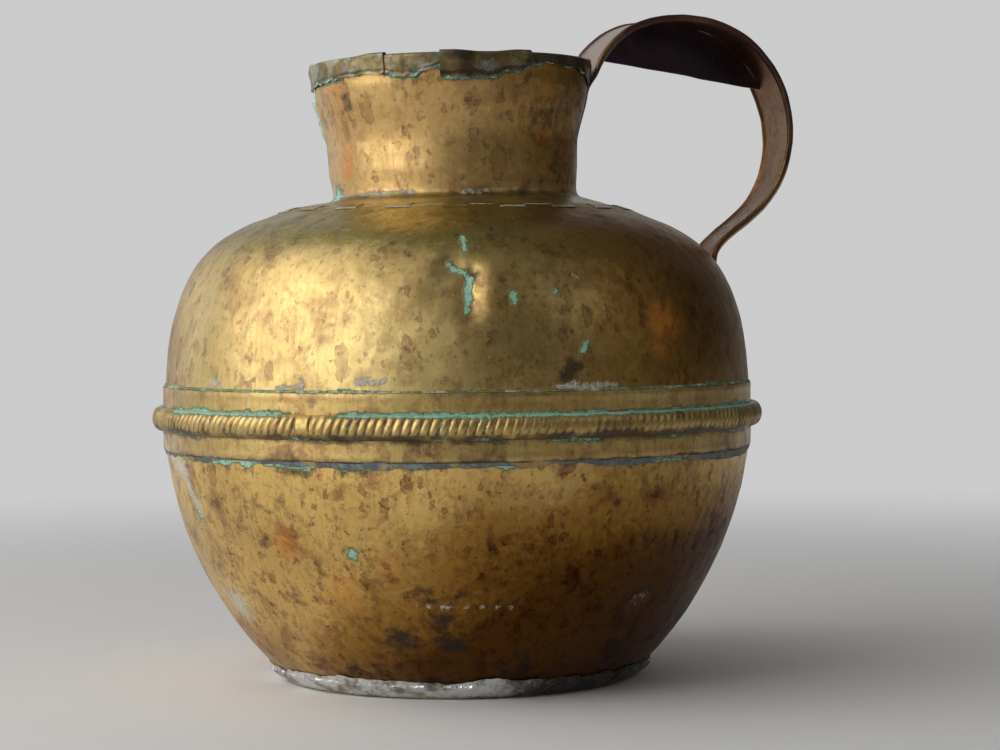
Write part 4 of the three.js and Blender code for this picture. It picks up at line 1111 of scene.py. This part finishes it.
def foot_bead():
    """Soft solder run round the foot in lumps and smears."""
    angle = ring(980)
    girth = polar(104.0, angle, angle * 0)
    foot = 0.45
    top = 9.8 + 1.3 * noise(girth, 24, 1) + 1.6 * noise(girth, 8, 2) + 0.6 * noise(girth, 3, 6)
    proud = np.maximum(0.6, 2.0 + 1.1 * noise(girth, 16, 3) + noise(girth, 6.5, 4))
    t, a = np.meshgrid(np.linspace(0, 1, 17), angle, indexing="ij")
    height = foot + t * (top - foot)
    bulge = np.sin(np.pi * (0.12 + 0.8 * t)) ** 0.7
    off_bowl = mix(1.6, 0.2, smooth(height, 6.4, 8.4))
    radius = body_radius(height) + off_bowl + proud * bulge * (1 - 0.5 * smooth(t, 0.75, 1))
    outer = polar(radius, a, height)
    lumps = 0.6 * noise(outer, 4.6, 5) + 0.25 * noise(outer, 2, 8)
    outer = outer + lumps[..., None] * polar(1.0, a, 0.35)
    outer[..., 2] = np.maximum(outer[..., 2], 0.4)
    inner = np.linspace(1, 0, 5)[:, None] * (outer[-1, :, 2] - foot) + foot
    degrees = np.degrees(angle_of(outer))
    shaded = 0.95 * smooth(degrees, -8, 36) * smooth(degrees, 170, 120)
    masks = {"dark": np.clip(0.1 * smooth(noise(outer, 16, 7), 0.1, 0.6) + shaded, 0, 1)}
    points = np.concatenate([outer, polar(body_radius(inner) + 0.1, angle, inner)])
    piece("foot_bead", "foot_solder", SOFT_SOLDER, points, masks, sharp=70)


def base_tray():
    count = 200
    rim = body_radius(SHEET + FIT) + FIT + SHEET
    edge = body_radius(TRAY_EDGE) + FIT
    line = [(r, 0.0) for r in np.linspace(12, rim - 1.4, 9)]
    line += [(rim - 0.4, 0.3), (rim, 1.2), (edge + SHEET, TRAY_EDGE)]
    line += [(edge, TRAY_EDGE), (rim - SHEET, 1.6), (rim - SHEET - 0.8, SHEET)]
    line = np.array(line + [(r, SHEET) for r in np.linspace(rim - 8, 12, 9)])
    place = polar(line[:, :1], ring(count), line[:, 1:])
    flat = (place[..., 2] > 0.5 * SHEET) & (line[:, :1] < rim - 6)
    place[..., 2] += np.where(flat, 0.25 * noise(place, 22, 4) + 0.25, 0)
    points = np.vstack([place.reshape(-1, 3), [(0, 0, 0)], [(0, 0, SHEET)]])
    under, over = len(points) - 2, len(points) - 1
    i = np.arange(count)
    j = (i + 1) % count
    last = under - count
    fans = np.vstack([np.stack([0 * i + under, j, i], 1), np.stack([0 * i + over, last + i, last + j], 1)])
    faces = quads(len(line), count, False).tolist() + fans.tolist()
    masks = {"dark": np.full(len(points), 0.3)}
    piece("base_tray", "bottom_disc", BRASS, points, masks, faces=faces)


# Rim strips: from and to, in degrees round the rim, and the share of the usual drop at start, middle and end
STRIPS = [
    (-93, -27, (1.25, 1.1, 0.85)),
    (-31, 0, (0.8, 1.15, 0.5)),
    (-4, 34, (1.3, 1.35, 0.6)),
    (31, 90, (0.45, 0.5, 1.5)),
    (86, 142, (0.9, 0.7, 1.0)),
    (138, 186, (1.1, 0.8, 0.9)),
    (182, 232, (0.8, 1.2, 0.9)),
    (228, 271, (1.0, 0.7, 1.1)),
]
STRIP_DROP = 10
STRIP_INNER_DROP = 8
STRIP_SHEET = 0.7
STRIP_LAP = 5
STRIP_FOLD = 0.45  # height of its fold, as a share of half its width
PALE_STRIPS = (0, 1)
DARK_STRIPS = (2, 3)


def hang(number, degrees):
    """How far a strip hangs down outside, and its ragged lower edge."""
    start, end, drops = STRIPS[number]
    drop = np.interp((degrees - start) / (end - start), [0, 0.5, 1], drops) * STRIP_DROP
    row = 7 * number
    return drop + 1.5 * line_noise(degrees, 6.5, 2, row) + 0.8 * line_noise(degrees, 2.4, 3, row)


def hanging(degrees):
    """The lower edge of whichever strip hangs lowest at each place round the rim."""
    turn = (degrees + 93) % 360 - 93
    found = [np.where((turn >= s[0]) & (turn <= s[1]), hang(i, turn), 0) for i, s in enumerate(STRIPS)]
    return np.maximum.reduce(found)


def rim_strip(number):
    """A strip of sheet folded over the rim, torn along its lower edge and crinkled by the hammer."""
    start, end = STRIPS[number][:2]
    degrees = np.linspace(start, end, round((end - start) * 1.35))[:, None]
    to_end = np.minimum(degrees - start, end - degrees)
    climb = STRIP_SHEET + 0.1 if number % 2 == 0 else 0
    off = 0.12 + climb * (1 - smooth(to_end, STRIP_LAP, 3.4 * STRIP_LAP))
    low = RIM_HEIGHT - np.maximum(2.2, hang(number, degrees))
    top = RIM_HEIGHT + off
    down = mix(low, top - 0.3, np.linspace(0, 1, 13))
    dip = mix(top - 0.3, RIM_HEIGHT - STRIP_INNER_DROP, np.linspace(0, 1, 10))
    ridge = np.linspace(0, np.pi, 6)[1:-1]
    half = SHEET / 2 + off
    fold = wall_radius(RIM_HEIGHT) - SHEET / 2 + half * np.cos(ridge)
    radius = np.hstack([wall_radius(down) + off, fold, wall_radius(dip) - SHEET - off])
    height = np.hstack([down, top - 0.3 + half * np.sin(ridge) * STRIP_FOLD, dip])
    line = np.stack([radius, height], axis=-1)
    angle = np.radians(degrees)
    place = lean(polar(radius, angle, height))
    outside = np.arange(radius.shape[1]) < down.shape[1]
    crinkle = 0.45 * noise(place, 7, 1) + 0.3 * noise(place, 3.2, 3)
    hem = 0.8 * smooth(height, low + 3.5, low) * outside * (0.6 + noise(place, 9, 2))
    lifted = np.clip(0.2 + crinkle + hem, 0, None) * smooth(np.abs(height - top), 0.5, 4)
    way = outward(line)
    outer = line + way * (STRIP_SHEET + lifted)[..., None]
    loop = np.concatenate([outer, (line + way * lifted[..., None])[:, ::-1]], axis=1)
    points = lean(polar(loop[..., 0], angle, loop[..., 1]))
    share = np.linspace(0, 1, len(outside))
    on_edge = np.r_[smooth(share, 0.09, 0.0), 0 * share + 0.5]
    shadow = np.r_[smooth(np.abs(share - 0.1), 0.08, 0.02), 0 * share]
    speck = noise(points, 6, 5)
    stained = 0.5 * smooth(noise(points, 9, 8), -0.1, 0.6) + 0.3 * (number in DARK_STRIPS)
    pale = (number in PALE_STRIPS) * (0.25 + 0.75 * smooth(degrees, 0, -75))
    masks = {
        "green": 0.6 * on_edge * smooth(speck, -0.35, 0.25) + 0.4 * smooth(speck, 0.35, 0.75),
        "dark": np.maximum(stained, 0.8 * shadow),
        "rubbed": pale * smooth(noise(points, 9, 3), -0.7, 0.2),
    }
    number += 1
    name, node = f"rim_binding_{number}", f"rim_strip_{number}"
    piece(name, node, RIM_BRASS, points, masks, sharp=50, ends="folded")


# Handle

HANDLE_ANGLE = math.radians(HANDLE_SIDE + 90)  # from the front
SIDEWAYS = np.array([-math.cos(HANDLE_ANGLE), -math.sin(HANDLE_ANGLE), 0.0])
CROWN_HEIGHT = RIM_HEIGHT + CROWN_OVER_RIM
LIFT_OFF = RIM_HEIGHT - LIFT_OFF_DROP
TONGUE = NECK_FOOT + TONGUE_RISE
HEEL = SEAM_HEIGHT - HEEL_UNDER_SEAM
LANDING = HEEL - HEEL_DROP
TOE = HEEL - TOE_DROP


def in_plane(p):
    return polar(p[..., 0], HANDLE_ANGLE, p[..., 1])


def neck_angle(height):
    """The angle at which the handle's plane meets the neck, before the neck leans."""
    return float(angle_of(unlean(in_plane(np.array([float(wall_radius(height)), height])))))


def neck_place(height):
    placed = lean(polar(wall_radius(height) + FIT + STRAP_SHEET, neck_angle(height), height))
    return np.array([radius_of(placed), placed[2]])


def shoulder_place(height, off):
    line = UPPER + outward(UPPER) * off
    return np.array([float(np.interp(height, line[:, 1], line[:, 0])), height])


def strap_line():
    """The strap's inner face in the handle's plane, from its tip on the neck to its tip on the shoulder."""
    lift_off = neck_place(LIFT_OFF)
    peak = np.array([HANDLE_CROWN, CROWN_HEIGHT])
    reach = np.array([HANDLE_REACH, RIM_HEIGHT - REACH_UNDER_RIM])
    heel = shoulder_place(HEEL, HEEL_STANDOFF)
    tilt = math.radians(LIFT_OFF_TILT)
    rise = np.array([math.sin(tilt), math.cos(tilt)])
    parts = [
        np.array([neck_place(z) for z in np.linspace(TONGUE, LIFT_OFF, 12)]),
        bezier([lift_off, lift_off + LIFT_OFF_PULL * rise, peak - (CROWN_PULL_IN, 0), peak]),
        bezier([peak, peak + (CROWN_PULL_OUT, 0), reach + (0, REACH_PULL_UP), reach]),
        bezier([reach, reach - (0, REACH_PULL_DOWN), heel + (0, HEEL_PULL_UP), heel]),
        bezier([heel, heel - (0, HEEL_PULL_DOWN), shoulder_place(LANDING, FIT)], 12),
        np.array([shoulder_place(z, FIT) for z in np.linspace(LANDING, TOE, 12)]),
    ]
    return evenly(np.vstack([parts[0]] + [part[1:] for part in parts[1:]]), HANDLE_STEP)


STRAP = strap_line()
STRAP_NORMAL = -outward(STRAP)
STRAP_AT = distances(STRAP)


def last_above(height):
    """How far along the strap it comes down past a height for the last time."""
    return STRAP_AT[len(STRAP) - 1 - np.argmax(STRAP[::-1, 1] > height)]


NECK_END = STRAP_AT[np.argmax(STRAP[:, 1] > neck_place(LIFT_OFF)[1])]
HEEL_END = last_above(LANDING)
CROWN_END = last_above(CROWN_HEIGHT - STRAP_SHEET)


def strap_section(at):
    """Across and lift of the strap's outline at a distance along it."""
    to_end = min(at, STRAP_AT[-1] - at)
    width = mix(STRAP_WIDTH, STRAP_HEEL_WIDTH, float(smooth(at, CROWN_END, HEEL_END)))
    half = mix(STRAP_TIP_WIDTH, width, math.sqrt(min(1, to_end / STRAP_TAPER))) / 2
    off_seat = min(at - NECK_END, HEEL_END - at)
    hem = mix(HEM_FLAT, HEM, float(smooth(off_seat, 0, HEM_FADE)))
    turn = np.linspace(-2.45, 2.45, 15)
    edge = np.stack([half - hem + hem * np.cos(turn), STRAP_SHEET / 2 + hem * np.sin(turn)], axis=1)
    inside = half - 2 * hem - 0.4
    crease = np.array([(inside, 0.0)])
    flat = np.linspace(-inside + 1.2, inside - 1.2, 13)
    inner = np.stack([flat, 0 * flat], axis=1)
    right = np.vstack([crease, edge, crease + (0, STRAP_SHEET)])
    return np.vstack([inner, right, inner[::-1] + (0, STRAP_SHEET), right[::-1] * (-1, 1)])


def strap_place(k, section):
    across, lift = section[:, 0], section[:, 1]
    at = STRAP_AT[k]
    middle = in_plane(STRAP[k])
    free = middle + across[:, None] * SIDEWAYS + lift[:, None] * in_plane(STRAP_NORMAL[k])
    on_neck = 1 - smooth(at - NECK_END, -4, 8)
    on_shoulder = smooth(at - HEEL_END, -10, 2)
    if on_neck > 0:
        local = unlean(middle)
        radius = wall_radius(local[2]) + FIT + STRAP_SHEET - lift
        return mix(free, lean(polar(radius, angle_of(local) - across / radius, local[2])), on_neck)
    if on_shoulder > 0:
        height = STRAP[k, 1]
        radius = np.array([shoulder_place(height, FIT + off)[0] for off in lift])
        return mix(free, polar(radius, HANDLE_ANGLE - across / radius, height), on_shoulder)
    return free


def strap():
    sections = np.array([strap_section(at) for at in STRAP_AT])
    points = np.array([strap_place(k, section) for k, section in enumerate(sections)])
    steady = smooth(np.minimum(STRAP_AT - NECK_END, HEEL_END - STRAP_AT), 0, 25)[:, None]
    wobble = (0.5 * noise(points, 24, 3) + 0.18 * noise(points, 7, 4)) * steady
    points = points + in_plane(STRAP_NORMAL)[:, None] * wobble[..., None]
    across = np.abs(sections[..., 0]) - STRAP_WIDTH / 2
    edge = smooth(across, -4.5, -3)
    outer = sections[..., 1] > STRAP_SHEET * 0.6
    low_end = smooth(STRAP_AT, CROWN_END + 60, HEEL_END)[:, None]
    masks = {
        "rubbed": np.where(outer, 0.75, 0) * (1 - edge),
        "tan": np.where(outer, 0, 0.85) * (1 - edge),
        # Painted shade in the crease inside each hem, darker hems, and darker towards the heel.
        "dark": np.clip(0.65 * hump(across + 4.3, 0.7) + 0.25 * edge + 0.42 * low_end, 0, 1),
    }
    name = "handle_strap_hemmed"
    piece(name, "handle_strap", STRAP_COPPER, points, masks, sharp=50, ends="capped")


def web():
    """The plate under the handle's arch, beaten and uneven, with its lower edge nearly straight."""
    inner = STRAP - STRAP_NORMAL * 0.15
    peak = int(np.argmax(inner[:, 1]))
    begin = int(np.argmax(inner[:, 1] > CROWN_HEIGHT - WEB_START_DROP))
    past = peak + int(np.argmax(inner[peak:, 1] < CROWN_HEIGHT - WEB_END_DROP))
    arch = evenly(inner[begin:past], 1.3)
    start, end = arch[0], arch[-1]
    x = arch[:, 0]
    share = np.linspace(0, 1, len(arch))
    fade = smooth(share, 0, 0.1) * smooth(share, 1, 0.9)
    chord = mix(start[1], end[1], (x - start[0]) / (end[0] - start[0])) + 0.35 * line_noise(x, 12, 3) * fade
    down = np.linspace(0, 1, 26)
    place = in_plane(mix(arch[:, None], np.stack([x, chord], axis=1)[:, None], down[:, None]))
    toward = 0.55 * noise(place, 26, 3) + 0.3 * noise(place, 9, 4) - WEB_OFFSET
    front, rear = (place + (toward + off)[..., None] * SIDEWAYS for off in (WEB_HALF_SHEET, -WEB_HALF_SHEET))
    points = np.concatenate([front, rear[:, ::-1]], axis=1)
    corner = near(points, in_plane(end) - 9 * SIDEWAYS, 14)
    edge = 0 * corner + np.tile(smooth(down, 0.9, 1.0), 2)
    # Painted shade and dark oxide over the web, less towards the corner at the arch's outer end.
    masks = {"tan": 0.6 * corner, "rubbed": 0.45 * edge, "dark": np.clip(0.5 - 0.9 * corner, 0, 1)}
    name = "handle_web_plate"
    piece(name, "handle_web", WEB_COPPER, points, masks, sharp=50, ends="folded")


def rivet(name, node, wall, angle, height, placed, seed):
    """A hand-closed rivet: an uneven domed head outside and a flatter one inside."""
    place, above = (placed(polar(wall(z), angle, z)) for z in (height, height + 1))
    out = Vector(np.cross([math.cos(angle), math.sin(angle), 0.0], above - place)).normalized()
    head, tail = FIT + STRAP_SHEET + 0.35, -SHEET - 1.4
    line = [(0.02, tail - 1.4), (1.6, tail - 1.35), (3.4, tail - 1.1), (4.1, tail - 0.5), (4.0, tail)]
    line += [(RIVET_RADIUS, tail), (RIVET_RADIUS, head), (4.4, head)]
    dome = np.linspace(0, 1.55, 8)
    line += [(RIVET_HEAD_RADIUS * math.cos(t), head + 0.3 + 1.9 * math.sin(t)) for t in dome]
    line = np.array(line + [(0.02, head + 2.2)])
    r, a = np.meshgrid(line[:, 0], ring(28), indexing="ij")
    lift = line[:, 1:] + 0 * a
    r = r * (1 + 0.07 * noise(np.stack([np.cos(a) * 3, np.sin(a) * 3, lift], -1), 2.2, seed))
    turn = np.array(Vector((0, 0, 1)).rotation_difference(out).to_matrix())
    points = np.stack([r * np.cos(a), r * np.sin(a), lift], axis=-1) @ turn.T + place
    masks = {"rubbed": smooth(lift, head, head + 2), "dark": 0.6 * smooth(lift, head + 0.8, head)}
    piece(name, node, STRAP_COPPER, points, masks, sharp=45, ends="capped")


def rivets():
    for i, height in enumerate([TONGUE + 8.5, TONGUE + 22], 1):
        name = f"neck_rivet_head_{i}"
        rivet(name, f"neck_rivet_{i}", wall_radius, neck_angle(height), height, lean, i - 1)
    for i, (height, across) in enumerate([(TOE + 8, 0), (TOE + 22, -6.5), (TOE + 22, 6.5)], 1):
        angle = HANDLE_ANGLE - across / body_radius(height)
        name = f"shoulder_rivet_head_{i}"
        rivet(name, f"shoulder_rivet_{i}", body_radius, angle, height, lambda p: p, i + 4)


# Stage

PAPER = 0.60  # brightness of the plain backdrop, where 1 is white
PAPER_COLOUR = (PAPER, PAPER, PAPER * 1.01, 1)
BEHIND = Vector((-0.5, 1.0, 0.05))
FOCAL_PIXELS = 2580
FRAME_PIXELS = 1000
SENSOR = 36


def floor():
    """A plain pale floor that fades into the backdrop."""
    r, a = np.meshgrid([0.5, 300, 800, 1600, 3200], ring(72), indexing="ij")
    points = np.stack([r * np.cos(a), r * np.sin(a), 0 * r - 0.3], axis=-1)
    faces = [face[::-1] for face in quads(*r.shape, False).tolist()] + [list(range(72))]
    s = Shade("PaleFloor")
    s.feed(s.shader.inputs["Base Color"], (0.8, 0.79, 0.78, 1))
    s.feed(s.shader.inputs["Roughness"], 0.8)
    paper = s.node("Emission", {"Color": PAPER_COLOUR, "Strength": 1.0}).outputs[0]
    distance = s.vector("LENGTH", s.place, output="Value")
    fade = s.times(s.step(distance, 0.45, 1.5), s.backdrop(s.toward(BEHIND, 0.2, 1.0)))
    s.feed(s.out, s.node("MixShader", {0: fade, 1: s.shader.outputs[0], 2: paper}).outputs[0])
    mesh_object("floor", points.reshape(-1, 3), faces, s.owner)


def world():
    """A soft room: pale paper behind, a bright window side on the left and a dimmer right."""
    t = Tree(bpy.data.worlds.new("Room"), "OutputWorld", "Generated")
    behind = BEHIND.normalized()
    room = t.plus(
        t.toward(Vector((-0.85, -0.35, 0.3)).normalized(), 0.2, 0.98, 0.55),
        t.toward(behind, 0.3, 0.95, PAPER - 0.15),
        t.toward((0, 0, 1), 0.3, 1.0, 0.15),
        0.06,
    )
    light = t.node("Background", {"Strength": room}).outputs[0]
    paper = t.node("Background", {"Color": PAPER_COLOUR}).outputs[0]
    shown = t.backdrop(t.toward(behind, 0.6, 0.95))
    t.feed(t.out, t.node("MixShader", {0: shown, 1: light, 2: paper}).outputs[0])
    scene.world = t.owner


def lamp(name, place, aim, width, height, power):
    data = bpy.data.lights.new(name, "AREA")
    data.shape = "RECTANGLE"
    data.size = width
    data.size_y = height
    data.energy = power
    obj = bpy.data.objects.new(name, data)
    scene.collection.objects.link(obj)
    obj.location = place
    obj.rotation_euler = (Vector(aim) - Vector(place)).to_track_quat("-Z", "Y").to_euler()


def camera():
    """The photograph's camera: its place, its lens, and the little it is turned off the axis."""
    data = bpy.data.cameras.new("Camera")
    data.sensor_width = SENSOR
    data.lens = SENSOR * FOCAL_PIXELS / FRAME_PIXELS
    data.clip_end = 30
    obj = bpy.data.objects.new("Camera", data)
    scene.collection.objects.link(obj)
    place = Matrix.Translation((0, -1.445, 0.209))
    for degrees, axis in ((-0.95, "Z"), (90 - 1.67, "X"), (-0.5, "Z")):
        place = place @ Matrix.Rotation(math.radians(degrees), 4, axis)
    obj.matrix_world = place
    scene.camera = obj


upper_bowl()
lower_bowl()
neck()
neck_seam()
belt()
rope()
belt_fillet(1, "belt_crust_upper", "belt_solder_upper", UPPER_CRUST)
belt_fillet(-1, "belt_crust_lower", "belt_solder_lower", LOWER_CRUST)
foot_bead()
base_tray()
for strip in range(len(STRIPS)):
    rim_strip(strip)
strap()
web()
rivets()

floor()
world()
lamp("Window", (-1.48, -0.75, 0.95), (0, 0, 0.2), 2.2, 1.7, 22)
lamp("Skylight", (-0.95, 0.1, 1.5), (-0.35, -0.1, 0), 0.9, 0.9, 2)
lamp("Side", (-1.25, 1.05, 0.35), (0, 0, 0.2), 0.35, 0.8, 0.4)
lamp("Fill", (1.6, -0.9, 1.2), (0, 0, 0.2), 1.2, 1.2, 2)
camera()
scene.view_settings.view_transform = "Standard"
